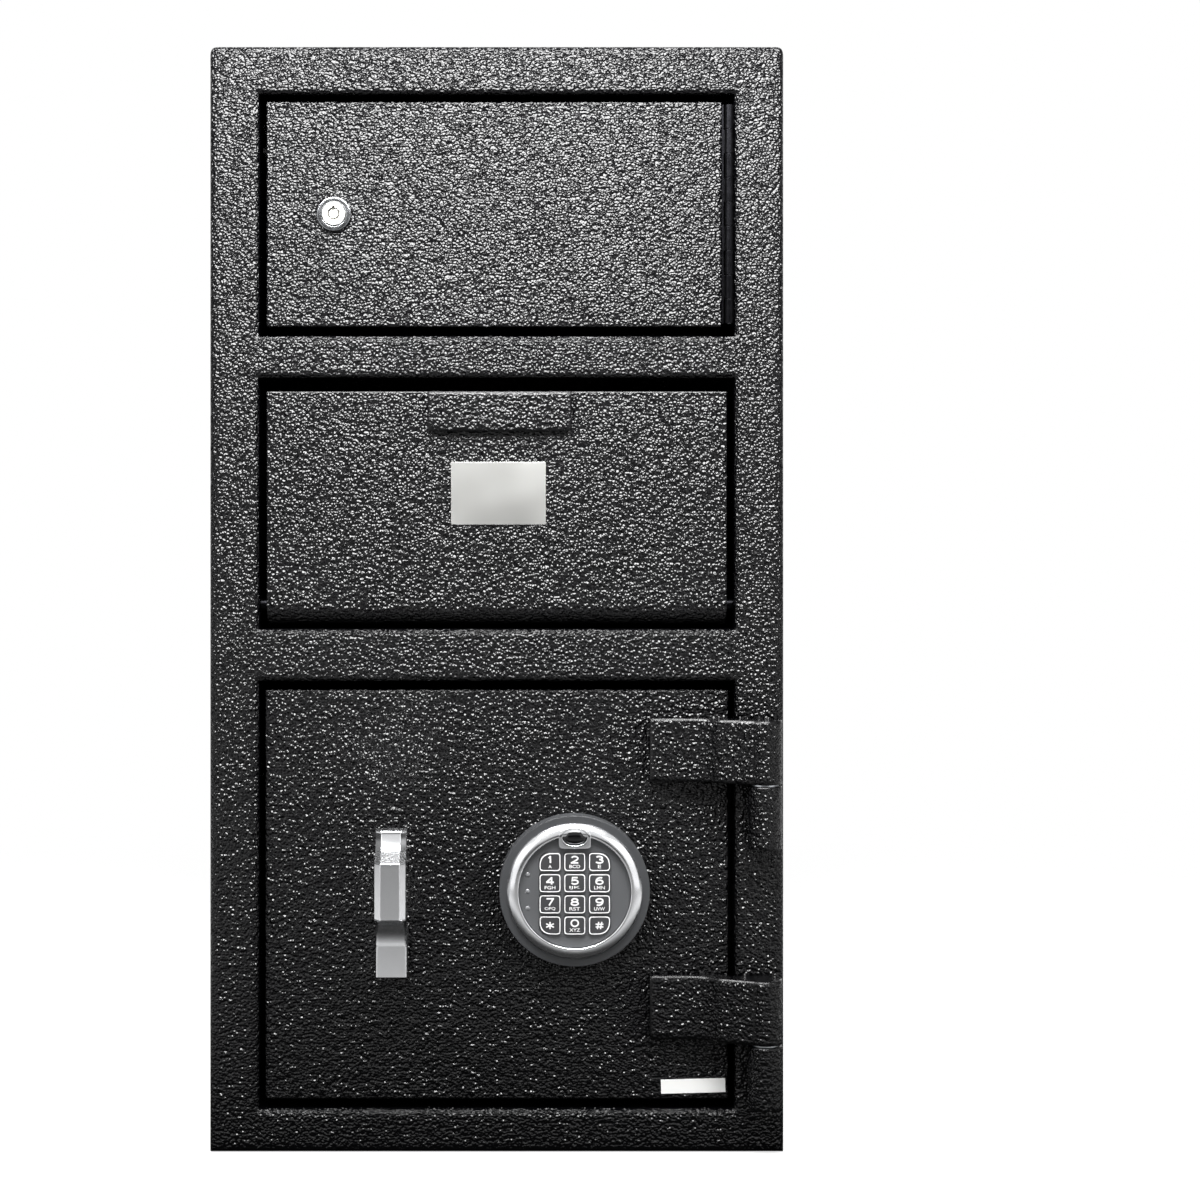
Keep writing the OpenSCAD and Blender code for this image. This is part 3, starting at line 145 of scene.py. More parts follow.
def chrome_plate():
    """Bright chrome over a buffed zinc casting. It mirrors the studio a little softly, as
    plate does over buffing marks, and a faint wave 6 mm long makes its reflections waver."""
    material, tree, place = blank("bright_chrome_plate")
    smears = add(tree, "ShaderNodeTexNoise", {
        "Vector": place, "Scale": 1 / (9 * MM), "Detail": 3.0})
    dullness = add(tree, "ShaderNodeMapRange", {
        "Value": smears.outputs["Fac"], "From Min": 0.3, "From Max": 0.7,
        "To Min": 0.14, "To Max": 0.22})
    wave = add(tree, "ShaderNodeTexNoise", {
        "Vector": place, "Scale": 1 / (6 * MM), "Detail": 1.0})
    relief = add(tree, "ShaderNodeBump", {
        "Height": wave.outputs["Fac"], "Distance": 0.03 * MM})
    shader = add(tree, "ShaderNodeBsdfPrincipled", {
        "Base Color": colour("eeeff1"), "Metallic": 1.0, "Roughness": dullness.outputs[0],
        "Normal": relief.outputs[0]})
    add(tree, "ShaderNodeOutputMaterial", {"Surface": shader.outputs[0]})
    return material


def moulding(name, tint, worn, rough, grain_mm, depth_mm, edge_mm, ior=1.5):
    """A moulded or coated surface: its colour drifts between two near tints in patches
    12 mm wide, and a fine grain covers it."""
    material, tree, place = blank(name)
    patches = add(tree, "ShaderNodeTexNoise", {
        "Vector": place, "Scale": 1 / (12 * MM), "Detail": 3.0})
    tints = add(tree, "ShaderNodeMix", {
        0: patches.outputs["Fac"], 6: colour(tint), 7: colour(worn)}, data_type="RGBA")
    dullness = add(tree, "ShaderNodeMapRange", {
        "Value": patches.outputs["Fac"], "From Min": 0.3, "From Max": 0.7,
        "To Min": rough * 0.92, "To Max": rough * 1.08})
    grain = add(tree, "ShaderNodeTexNoise", {
        "Vector": place, "Scale": 1 / (grain_mm * MM), "Detail": 2.0})
    edges = add(tree, "ShaderNodeBevel", {"Radius": edge_mm * MM}, samples=4)
    relief = add(tree, "ShaderNodeBump", {
        "Height": grain.outputs["Fac"], "Distance": depth_mm * MM,
        "Normal": edges.outputs[0]})
    shader = add(tree, "ShaderNodeBsdfPrincipled", {
        "Base Color": tints.outputs[2], "Roughness": dullness.outputs[0], "IOR": ior,
        "Normal": relief.outputs[0]})
    add(tree, "ShaderNodeOutputMaterial", {"Surface": shader.outputs[0]})
    return material


EVEN = (1, 1, 1)
FINISHES = {
    # Glossy black pebbles: white specks where their upper slopes face the light.
    "black_powder_coat": powder_coat("hammer_textured_black_powder_coat", 2.0),
    # Bright zinc plate, passivated: pale grey with a soft, slightly cloudy shine.
    "zinc_plated_steel": bare_metal("bright_zinc_plate", "b9bcc0", 0.32, 6, 0.5, EVEN, 0.4),
    # Oiled black oxide on rolled steel: nearly black, with a dull glint along its edges.
    "black_hinge_steel": bare_metal("oiled_black_oxide", "161618", 0.35, 5, 0.4, EVEN, 0.3),
    # Turned and polished bolt steel: a tight highlight broken by fine rings round X.
    "bright_steel": bare_metal("turned_steel", "c6c7c9", 0.18, 6, 0.3, (1, 0.05, 0.05), 0.4),
    "chrome": chrome_plate(),
    # Satin ABS from a spark-eroded mould: an even mid grey, soft along its edges.
    "grey_plastic": moulding("satin_grey_abs", "38393b", "3c3d3f", 0.4, 0.5, 0.01, 1.2),
    # Back-printed polyester film: flat, even grey with hardly any shine.
    "keypad_membrane": moulding("matt_polyester_film", "4b4c4e", "4f5052", 0.55, 0.35,
                                0.004, 0.2),
    # Silicone rubber keys: darker than the film, matt, with a soft edge.
    "key_rubber": moulding("silicone_rubber", "303032", "363638", 0.5, 0.4, 0.006, 0.4),
    # Polished acrylic over a sensor: black, and as glossy as glass.
    "black_gloss": moulding("polished_black_acrylic", "040405", "060607", 0.05, 2.0, 0.001,
                            0.1, 1.49),
    # Clear polycarbonate lamps, unlit: grey domes with one sharp highlight.
    "lamp_plastic": moulding("clear_polycarbonate", "6c6d6f", "747577", 0.12, 1.0, 0.001,
                             0.1, 1.58),
    # Solder mask over copper on a glass-fibre board: deep green, with a low gloss.
    "circuit_board": moulding("green_solder_mask", "1c5a35", "226640", 0.35, 0.8, 0.02, 0.2),
    # Extruded PVC: a plain black jacket with a waxy shine.
    "cable_jacket": moulding("pvc_cable_jacket", "141414", "191919", 0.5, 0.5, 0.01, 0.2),
    # Lacquered tinplate: dark blue-grey and fairly glossy.
    "battery_case": moulding("lacquered_tinplate", "2b3442", "303a4a", 0.3, 0.8, 0.004, 0.8),
    # Moulded ABS: an even black, satin.
    "black_plastic": moulding("satin_black_abs", "1b1b1c", "202021", 0.5, 0.5, 0.01, 0.4),
    # Cast and milled brass: warm yellow, a little dull.
    "brass": bare_metal("milled_brass", "c8a25a", 0.3, 6, 0.4, (0.2, 1, 1), 0.4),
}
# Brushed aluminium plate: pale silver with lines along X. The lines are drawn 0.5 mm
# apart, ten times coarser than real ones, so that they show.
NAME_PLATE = bare_metal("brushed_aluminium", "c9c9c6", 0.42, 60, 0.5, (0.03, 1, 1), 0.1)
# Vinyl film on the door's corner: clean white with a soft gloss.
LABEL = moulding("white_vinyl_film", "f0f0ee", "ececea", 0.45, 0.6, 0.003, 0.1)
# Screen printing ink on the keys: flat, slightly grey white.
PRINT = moulding("white_screen_ink", "e4e4e4", "dedede", 0.5, 0.4, 0.003, 0.05)

# The same coat on the frame, the pull tab and the straps, whose edges roll broadly: a
# bright line where an edge faces up, and a dark one elsewhere.
BROAD_EDGES = powder_coat("hammer_textured_coat_on_broad_bends", 5.0)
# Satin nickel on the key plug: it scatters the light, and reads nearly white.
PLUG = bare_metal("satin_nickel", "d9d8d4", 0.45, 3, 0.4, EVEN, 0.3)
# Polished zinc casting of the lock's bezel: it mirrors the dim room as a flat mid grey.
BEZEL = bare_metal("polished_zinc_casting", "a9abae", 0.2, 5, 0.5, EVEN, 0.3)

own_finish = {"front_frame": BROAD_EDGES, "pull_tab": BROAD_EDGES,
              "upper_hinge_strap": BROAD_EDGES, "lower_hinge_strap": BROAD_EDGES,
              "lock_plug": PLUG}
for row in frame["record"]["subparts"]:
    skin = nodes[row["node"]].data
    skin.materials.clear()
    skin.materials.append(own_finish.get(row["node"], FINISHES[row["material_slot"]]))


# Shapes

def mesh_from(name, points_mm, faces, material, body, smooth=True):
    """A mesh from points in millimetres, with its faces turned outwards, riding on a body."""
    mesh = bpy.data.meshes.new(name)
    mesh.from_pydata((np.asarray(points_mm, float).reshape(-1, 3) * MM).tolist(), [], faces)
    shell = bmesh.new()
    shell.from_mesh(mesh)
    bmesh.ops.remove_doubles(shell, verts=shell.verts, dist=1e-7)
    bmesh.ops.recalc_face_normals(shell, faces=shell.faces)
    shell.to_mesh(mesh)
    shell.free()
    mesh.polygons.foreach_set("use_smooth", [smooth] * len(mesh.polygons))
    mesh.materials.append(material)
    made = bpy.data.objects.new(name, mesh)
    bpy.context.scene.collection.objects.link(made)
    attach(made, body)
    return made


def quads(rows, cols, close_rows=False, close_cols=False):
    """Faces of a grid of points, row by row, as one array. A closed direction joins its
    last line to its first."""
    i = np.arange(rows if close_rows else rows - 1)[:, None]
    j = np.arange(cols if close_cols else cols - 1)[None, :]
    i2, j2 = (i + 1) % rows, (j + 1) % cols
    return np.stack([i * cols + j, i * cols + j2, i2 * cols + j2, i2 * cols + j],
                    -1).reshape(-1, 4).tolist()


def stacked(loops):
    """Faces of a stack of closed loops, with a lid on its first and its last loop."""
    rows, cols = loops.shape[:2]
    lids = [list(range(cols))[::-1], list(range((rows - 1) * cols, rows * cols))]
    return quads(rows, cols, close_cols=True) + lids


def soften(corners, radius, steps):
    """Rounds each corner of closed outlines, held as (..., corners, 2). A corner C becomes
    steps + 1 points on the curve (1-t)^2 A + 2t(1-t) C + t^2 B, where A and B lie `radius`
    before and after it, and never more than 0.76 of a side away."""
    before, after = np.roll(corners, 1, -2), np.roll(corners, -1, -2)
    radius = np.broadcast_to(np.asarray(radius, float), corners.shape[:-1])[..., None]
    ends = []
    for other in (before, after):
        side = other - corners
        length = np.maximum(np.linalg.norm(side, axis=-1, keepdims=True), 1e-9)
        ends.append((corners + side * np.minimum(radius / length, 0.76))[..., None, :])
    t = np.linspace(0, 1, steps + 1)[:, None]
    curve = ((1 - t) ** 2 * ends[0] + 2 * t * (1 - t) * corners[..., None, :]
             + t ** 2 * ends[1])
    return curve.reshape(*corners.shape[:-2], -1, 2)


def revolve(name, profile, centre, material, body, around):
    """Turns a closed profile of (radius r, distance d towards the front) about the axis
    through `centre` along Y: the point at angle a is centre + (r cos a, -d, r sin a)."""
    a = np.linspace(0, 2 * np.pi, around, endpoint=False)[:, None]
    r, d = profile[:, 0][None, :], profile[:, 1][None, :]
    points = np.stack([centre[0] + r * np.cos(a), centre[1] - d + 0 * a,
                       centre[2] + r * np.sin(a)], -1)
    return mesh_from(name, points, quads(around, len(profile), True, True), material, body)


def flats_first(piece):
    """Keeps flat faces flat in the shading, so that only the rounds between them roll."""
    piece.modifiers.new("flats", "WEIGHTED_NORMAL")
    return piece


def extent(node):
    """Lowest and highest corner of a CAD node, in millimetres."""
    low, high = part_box(node)
    return np.array(low) / MM, np.array(high) / MM


DOOR_FACE = extent("main_door_plate")[0][1]
CORNER_SIGNS = np.array([[-1.0, -1.0], [1.0, -1.0], [1.0, 1.0], [-1.0, 1.0]])


# Handle

HUB_PROUD, HUB_HIGH, NECK_R, GRIP_FLAT = 22.0, 18.8, 20.0, 34.3
GRIP_CROWN, SLOPE_RISE, SLOPE_FALL, TIP_ROUND, GRIP_BACK = 0.12, 5.6, 9.0, 1.5, 15.6


def lever():
    """The bright lever, as horizontal sections stacked up its height. At height z a section
    runs from back(z) to front(z) off the door, and its front corners are cut by bevel(z).
    front(z) is flat on the hub, a quarter round up the neck, flat with a crown of
    0.12 mm on the grip, and beyond the lip a slope that eases into a hollow round."""
    low, high = extent("handle_lever")
    half, x_mid = (high[0] - low[0]) / 2, (high[0] + low[0]) / 2
    proud, z0, z1 = DOOR_FACE - low[1], low[2], high[2]
    za = z0 + HUB_HIGH
    zb = za + NECK_R
    zc = zb + GRIP_FLAT
    turn = np.radians(np.linspace(180, 91, 28))
    bend = np.radians(np.linspace(227, 192, 22))
    hollow_r = (z1 - TIP_ROUND - zc - SLOPE_RISE) / (np.sin(bend[-1]) - np.sin(bend[0]))
    hollow = np.stack([
        zc + SLOPE_RISE + hollow_r * (np.sin(bend) - np.sin(bend[0])),
        proud - SLOPE_FALL + hollow_r * (np.cos(bend) - np.cos(bend[0]))], -1)
    tip = hollow[-1, 1]
    rise = np.linspace(0.7, GRIP_FLAT - 0.7, 16)
    crown = GRIP_CROWN * (1 - (2 * rise / GRIP_FLAT - 1) ** 2) - GRIP_CROWN
    round_over = np.radians(np.linspace(8, 90, 7))
    front = np.concatenate([
        [[z0, HUB_PROUD - 0.6], [z0 + 0.2, HUB_PROUD - 0.15], [z0 + 0.6, HUB_PROUD]],
        np.stack([za + NECK_R * np.sin(turn), proud + NECK_R * np.cos(turn)], -1),
        [[zb + 0.15, proud - 0.45], [zb + 0.35, proud - 0.2]],
        np.stack([zb + rise, proud + crown], -1),
        [[zc - 0.2, proud - 0.2], [zc + 0.2, proud - 0.6]],
        hollow,
        np.stack([z1 - TIP_ROUND + TIP_ROUND * np.sin(round_over),
                  tip - TIP_ROUND + TIP_ROUND * np.cos(round_over)], -1),
    ])
    under = np.radians(np.linspace(-88, 0, 12))
    back = np.concatenate([
        [[z0, 1.4], [z0 + 0.4, 1.0], [zb - 8.1, 1.0], [zb - 8.0, 14.6]],
        np.stack([zb + 4 + 12 * np.sin(under), 15 + 12 * np.cos(under)], -1),
        [[zc - 8, 27.0], [zc + 4, GRIP_BACK], [z1 - 0.4, GRIP_BACK], [z1, GRIP_BACK + 0.5]],
    ])
    z = np.unique(np.round(np.concatenate([front[:, 0], back[:, 0], [za + 0.7]]), 4))
    f, b = np.interp(z, front[:, 0], front[:, 1]), np.interp(z, back[:, 0], back[:, 1])
    bevel = np.interp(z, [za - 0.4, za + 0.7, zb - 0.1, zb + 0.35, z1 - TIP_ROUND, z1],
                      [0.7, 1.4, 1.4, 3.8, 3.8, 3.0])
    w, e = np.full_like(z, half), np.full_like(z, 0.7)
    corners = np.stack([
        np.stack([-w + e, b], -1), np.stack([-w, b + e], -1),
        np.stack([-w, f - bevel], -1), np.stack([-w + bevel, f], -1),
        np.stack([w - bevel, f], -1), np.stack([w, f - bevel], -1),
        np.stack([w, b + e], -1), np.stack([w - e, b], -1)], 1)
    section = soften(corners, 0.4, 3)
    loops = np.stack([x_mid + section[..., 0], DOOR_FACE - section[..., 1],
                      np.broadcast_to(z[:, None], section.shape[:2])], -1)
    piece = mesh_from("lever", loops, stacked(loops), FINISHES["chrome"], "handle")
    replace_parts(flats_first(piece), "handle_lever")


# Keypad

pad_low, pad_high = extent("keypad_base")
PAD = np.array([(pad_low[0] + pad_high[0]) / 2, pad_low[1], (pad_low[2] + pad_high[2]) / 2])
RING_WIDE, RING_CROWN = 7.35, 9.3
TONGUE_HALF_WIDE, TONGUE_FOOT, TONGUE_PROUD, RIM_ABOVE, HOLE_GAP = 9.85, 26.8, 0.12, 1.5, 0.15


def ring():
    """The bright ring round the keypad: a profile turned about the keypad's axis. Its crown
    is part of a circle that is highest near the inner edge and falls outwards, and its two
    rims are small quarter rounds."""
    low, high = extent("keypad_bezel")
    outer, height = (high[0] - low[0]) / 2, PAD[1] - low[1]
    inner = outer - RING_WIDE
    tilt = np.radians(np.linspace(7, 50, 24))
    crown = np.stack([inner + RING_CROWN * np.sin(tilt),
                      height - RING_CROWN * (1 - np.cos(tilt))], -1)
    rim = np.radians(np.linspace(60, 0, 5))
    lip = np.radians(np.linspace(180, 90, 7))
    profile = np.concatenate([
        crown,
        np.stack([outer - 0.4 + 0.4 * np.cos(rim), 0.6 + 0.4 * np.sin(rim)], -1),
        [[outer, 0.0], [inner, 0.0]],
        np.stack([inner + 0.9 + 0.9 * np.cos(lip), height - 1.0 + 0.9 * np.sin(lip)], -1)])
    piece = revolve("keypad_ring", profile, PAD, FINISHES["chrome"], "main_door",
                    192)
    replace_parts(piece, "keypad_bezel")


def tongue():
    """The tongue round the window: a plate between the oval hole and a rounded rectangle
    below, an oval above. At angle a from the hole's centre the plate's edge lies at
    (|cos a / hx|^n + |sin a / hz|^n)^(-1/n), with n = 9 below and 2.4 above. `share` runs
    from the hole to that edge, and `drop` eases the face down at both. The face follows
    the ring's crown, 0.12 mm above it."""
    low, high = extent("keypad_window")
    ring_low, ring_high = extent("keypad_bezel")
    crown_at = (ring_high[0] - ring_low[0]) / 2 - RING_WIDE
    top = PAD[1] - ring_low[1]
    centre, size = (low + high) / 2, (high - low) / 2 + HOLE_GAP
    a = np.linspace(0, 2 * np.pi, 160, endpoint=False)
    hx = TONGUE_HALF_WIDE
    hz = np.where(np.sin(a) > 0, size[2] + RIM_ABOVE, centre[2] - PAD[2] - TONGUE_FOOT)
    n = np.where(np.sin(a) > 0, 2.4, 9.0)
    edge = (np.abs(np.cos(a) / hx) ** n + np.abs(np.sin(a) / hz) ** n) ** (-1 / n)
    hole = 1 / np.sqrt((np.cos(a) / size[0]) ** 2 + (np.sin(a) / size[2]) ** 2)
    share, drop = np.array([(0.0, 2.4), (0.0, 0.35), (0.04, 0.1), (0.12, 0.0), (0.4, 0.0),
                            (0.7, 0.0), (0.9, 0.0), (0.97, 0.1), (1.0, 0.4), (1.0, 2.4)]).T
    r = hole + (edge - hole) * share[:, None]
    x, z = r * np.cos(a), centre[2] - PAD[2] + r * np.sin(a)
    out = np.clip(np.hypot(x, z) - crown_at, 0, RING_CROWN * 0.8)
    face = top + TONGUE_PROUD - RING_CROWN + np.sqrt(RING_CROWN ** 2 - out ** 2)
    points = np.stack([centre[0] + x, PAD[1] - face + drop[:, None], PAD[2] + z], -1)
    mesh_from("keypad_tongue", points, quads(len(share), len(a), True, True),
              FINISHES["chrome"], "main_door")


def window():
    """The oval window: at share s of its oval the glass lies 2.2 s^2.5 mm below its crown,
    and its wall then goes down into the ring."""
    low, high = extent("keypad_window")
    centre, size = (low + high) / 2, (high - low) / 2
    s = np.concatenate([np.linspace(0.02, 1, 18), [1.0]])[:, None]
    a = np.linspace(0, 2 * np.pi, 96, endpoint=False)[None, :]
    depth = low[1] + 2.2 * s ** 2.5
    depth[-1] = PAD[1] - 1.0
    points = np.stack([centre[0] + size[0] * s * np.cos(a), depth + 0 * a,
                       centre[2] + size[2] * s * np.sin(a)], -1)
    piece = mesh_from("keypad_window_dome", points, stacked(points),
                      FINISHES["black_gloss"], "main_door")
    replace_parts(piece, "keypad_window")


KEYS = {
    "key_1": ("1", "A"), "key_2": ("2", "BCD"), "key_3": ("3", "E"),
    "key_4": ("4", "FGH"), "key_5": ("5", "IJK"), "key_6": ("6", "LMN"),
    "key_7": ("7", "OPQ"), "key_8": ("8", "RST"), "key_9": ("9", "UVW"),
    "key_star": ("*", ""), "key_0": ("0", "XYZ"), "key_hash": ("#", ""),
}


def arc(x, z, half_wide, half_high, start, end):
    """Points of an oval's arc between two angles in degrees, as an array of (x, z)."""
    a = np.radians(np.linspace(start, end, 28))
    return np.stack([x + half_wide * np.cos(a), z + half_high * np.sin(a)], -1)


# Each mark as strokes in a square from 0 to 1.
SIX = [arc(0.64, 0.42, 0.61, 0.58, 66, 190), arc(0.5, 0.3, 0.47, 0.3, 90, 452)]
STROKES = {
    "0": [arc(0.5, 0.5, 0.5, 0.5, 90, 452)],
    "1": [np.array([(0.1, 0.74), (0.66, 1.0)]), np.array([(0.62, 1.08), (0.62, 0.0)])],
    "2": [np.concatenate([arc(0.49, 0.7, 0.44, 0.3, 165, -38), [(0.04, 0.0)]]),
          np.array([(-0.06, 0.0), (1.0, 0.0)])],
    "3": [arc(0.46, 0.755, 0.43, 0.245, 155, -90), arc(0.46, 0.26, 0.5, 0.26, 90, -155)],
    "4": [np.array([(0.72, -0.06), (0.72, 1.08)]), np.array([(0.74, 1.0), (0.02, 0.3)]),
          np.array([(-0.04, 0.28), (1.04, 0.28)])],
    "5": [np.concatenate([[(0.9, 1.0), (0.2, 1.0), (0.1, 0.5)],
                          arc(0.48, 0.31, 0.48, 0.31, 128, -152)])],
    "6": SIX,
    "7": [np.array([(0.0, 1.0), (1.06, 1.0)]), np.array([(0.96, 1.0), (0.36, -0.04)])],
    "8": [arc(0.5, 0.755, 0.4, 0.245, 90, 452), arc(0.5, 0.26, 0.48, 0.26, 90, 452)],
    "9": [1 - part for part in SIX],
    "*": [np.array([(0.5, 1.0), (0.5, 0.0)]), np.array([(0.0, 0.75), (1.0, 0.25)]),
          np.array([(0.0, 0.25), (1.0, 0.75)])],
    "#": [np.array([(0.4, 1.0), (0.22, 0.0)]), np.array([(0.8, 1.0), (0.62, 0.0)]),
          np.array([(0.0, 0.68), (1.0, 0.68)]), np.array([(0.0, 0.3), (1.0, 0.3)])],
}


INK_MM = 0.05


def mark_on(node, mark, wide, high, weight_mm, x, z, y):
    """One printed mark on a key. Each stroke is a ribbon: its two edges lie half a weight
    to either side of its line, along the mean of the neighbouring pieces' normals. Each
    stroke stands 4 microns above the one before, so that crossing strokes don't share a
    face."""
    points, faces = [], []
    for count, stroke in enumerate(STROKES[mark]):
        line = (stroke - 0.5) * (np.array([wide, high]) - weight_mm)
        run = np.diff(line, axis=0)
        normal = np.stack([-run[:, 1], run[:, 0]], -1)
        normal /= np.linalg.norm(normal, axis=1, keepdims=True)
        before, after = normal[np.r_[0, :len(normal)]], normal[np.r_[:len(normal), -1]]
        mean = (before + after) / (1 + np.sum(before * after, axis=1, keepdims=True)).clip(0.6)
        left, right = line + mean * weight_mm / 2, line - mean * weight_mm / 2
        up = INK_MM + 0.004 * count
        ribbon = np.stack([
            np.stack([x + side[:, 0], np.full(len(side), y - rise), z + side[:, 1]], -1)
            for side, rise in ((left, 0), (left, up), (right, up), (right, 0))], 1)
        first = sum(len(part) for part in points)
        walls = quads(len(line), 4, close_cols=True)
        caps = [[0, 1, 2, 3], [len(line) * 4 - k for k in (1, 2, 3, 4)]]
        faces += [[first + corner for corner in face] for face in walls + caps]
        points.append(ribbon.reshape(-1, 3))
    mesh_from(node + "_mark", np.concatenate(points), faces, PRINT, node,
              smooth=False)


def print_on(node, part, text, wide, high, weight_mm, x, z, y):
    """Flat lettering of the built-in typeface on a key, scaled to `wide` by `high`
    millimetres about (x, z) once its strokes are thickened by weight_mm."""
    curve = bpy.data.curves.new(part, "FONT")
    curve.body, curve.size = text, 7.0 * MM
    curve.offset, curve.extrude = weight_mm * MM, 0.03 * MM
    lettered = bpy.data.objects.new(part, curve)
    mesh = bpy.data.meshes.new_from_object(lettered)
    bpy.data.objects.remove(lettered)
    co = np.zeros(len(mesh.vertices) * 3)
    mesh.vertices.foreach_get("co", co)
    co = co.reshape(-1, 3)
    low, high_corner = co.min(0), co.max(0)
    co = (co - (low + high_corner) / 2) / (high_corner - low)
    flat = np.stack([x + co[:, 0] * wide, y - co[:, 2] * 0.06, z + co[:, 1] * high], -1) * MM
    mesh.vertices.foreach_set("co", flat.ravel())
    mesh.materials.clear()
    mesh.materials.append(PRINT)
    made = bpy.data.objects.new(node + part, mesh)
    bpy.context.scene.collection.objects.link(made)
    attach(made, node)


KEY_LINE_HALF, KEY_LINE_WIDE = np.array([6.42, 5.52]), 0.6


def key_face(node, mark, group):
    """The print on one key: a pale line between two rounded outlines just inside its edge,
    the mark, and its letters."""
    low, high = extent(node)
    x, z = (low[0] + high[0]) / 2, (low[2] + high[2]) / 2
    left, right = x < PAD[0] - 5, x > PAD[0] + 5
    top, bottom = node in ("key_1", "key_3"), node in ("key_star", "key_hash")
    large = [bottom and left, bottom and right, top and right, top and left]
    radius = np.where(large, 8.0, 2.2)
    outer = soften(CORNER_SIGNS * KEY_LINE_HALF, radius, 10)
    inner = soften(CORNER_SIGNS * (KEY_LINE_HALF - KEY_LINE_WIDE),
                   np.where(large, 7.6, 1.7), 10)
    y = low[1]
    points = np.stack([
        np.stack([x + loop[:, 0], np.full(len(loop), y - up), z + loop[:, 1]], -1)
        for loop, up in ((outer, 0.0), (outer, 0.06), (inner, 0.06), (inner, 0.0))])
    mesh_from(node + "_line", points, quads(4, points.shape[1], True, True), PRINT, node,
              smooth=False)
    face = y - 0.03
    if not group:
        mark_on(node, mark, 5.5, 5.2, 0.78, x, z, face)
        return
    mark_on(node, mark, 3.0 if mark == "1" else 5.3, 4.9, 0.95, x, z + 1.45, face)
    print_on(node, "_letters", group, 6.6 if len(group) > 1 else 1.9, 2.05, 0.08, x,
             z - 2.75, face)


# Locker lock

BODY_R, PLUG_GAP = 9.5, 0.05


def lock_barrel():
    """The key lock's body: a profile turned about its axis. A flat bezel with eased edges
    surrounds a narrow step down to the plug."""
    low, high = extent("lock_barrel")
    plug_low, plug_high = extent("lock_plug")
    x, z = (low[0] + high[0]) / 2, (low[2] + high[2]) / 2
    bore, rim = (plug_high[0] - plug_low[0]) / 2 + PLUG_GAP, (high[0] - low[0]) / 2
    top, deep = DOOR_FACE - low[1], DOOR_FACE - high[1]
    profile = np.array([
        [bore, deep], [bore, top - 1.0], [bore + 0.35, top - 0.9], [bore + 0.7, top - 0.15],
        [bore + 0.9, top], [rim - 0.6, top], [rim - 0.2, top - 0.2], [rim, top - 0.7],
        [rim, 0.0], [BODY_R, 0.0], [BODY_R, deep]])
    piece = revolve("lock_body", profile, (x, DOOR_FACE, z), BEZEL, "locker_door",
                    96)
    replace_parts(flats_first(piece), "lock_barrel")


# Bare plate and label

def thin_plate(name, centre, half, radius, thick, turn_deg, material, body):
    """A thin plate on a door's face: rounded rectangles stacked from its back to its front,
    the last ones drawn in by a small round, all turned by turn_deg in its own plane."""
    outline = soften(CORNER_SIGNS * np.asarray(half, float), radius, 6)
    steps = np.array([(0, 0.0), (0, 0.6), (0.08, 0.9), (0.2, 1.0)])
    drawn_in = outline * (1 - steps[:, None, :1] / np.asarray(half))
    c, s = math.cos(math.radians(turn_deg)), math.sin(math.radians(turn_deg))
    u, v = drawn_in[..., 0], drawn_in[..., 1]
    loops = np.stack([centre[0] + u * c - v * s, DOOR_FACE - thick * steps[:, 1:] + 0 * u,
                      centre[1] + u * s + v * c], -1)
    flats_first(mesh_from(name, loops, stacked(loops), material, body))


lever()
ring()
tongue()
window()
for key_node, (key_mark, key_group) in KEYS.items():
    key_face(key_node, key_mark, key_group)
lock_barrel()
thin_plate("bare_plate", centre=(1.0, 408.7), half=(29.5, 19.5), radius=0.6, thick=0.6,
           turn_deg=0.0, material=NAME_PLATE, body="hopper")
thin_plate("blank_label", centre=(122.0, 40.5), half=(20.0, 4.4), radius=0.3, thick=0.15,
           turn_deg=1.5, material=LABEL, body="main_door")


# Studio

def softbox(name, place, aim, size, watts):
    """A rectangular lamp at `place`, turned towards `aim`. No camera sees the lamp itself."""
    data = bpy.data.lights.new(name, "AREA")
    data.shape, data.size, data.size_y, data.energy = "RECTANGLE", size[0], size[1], watts
    lamp = bpy.data.objects.new(name, data)
    bpy.context.scene.collection.objects.link(lamp)
    lamp.location = place
    lamp.rotation_euler = (Vector(place) - Vector(aim)).to_track_quat("Z", "Y").to_euler()
    lamp.visible_camera = False


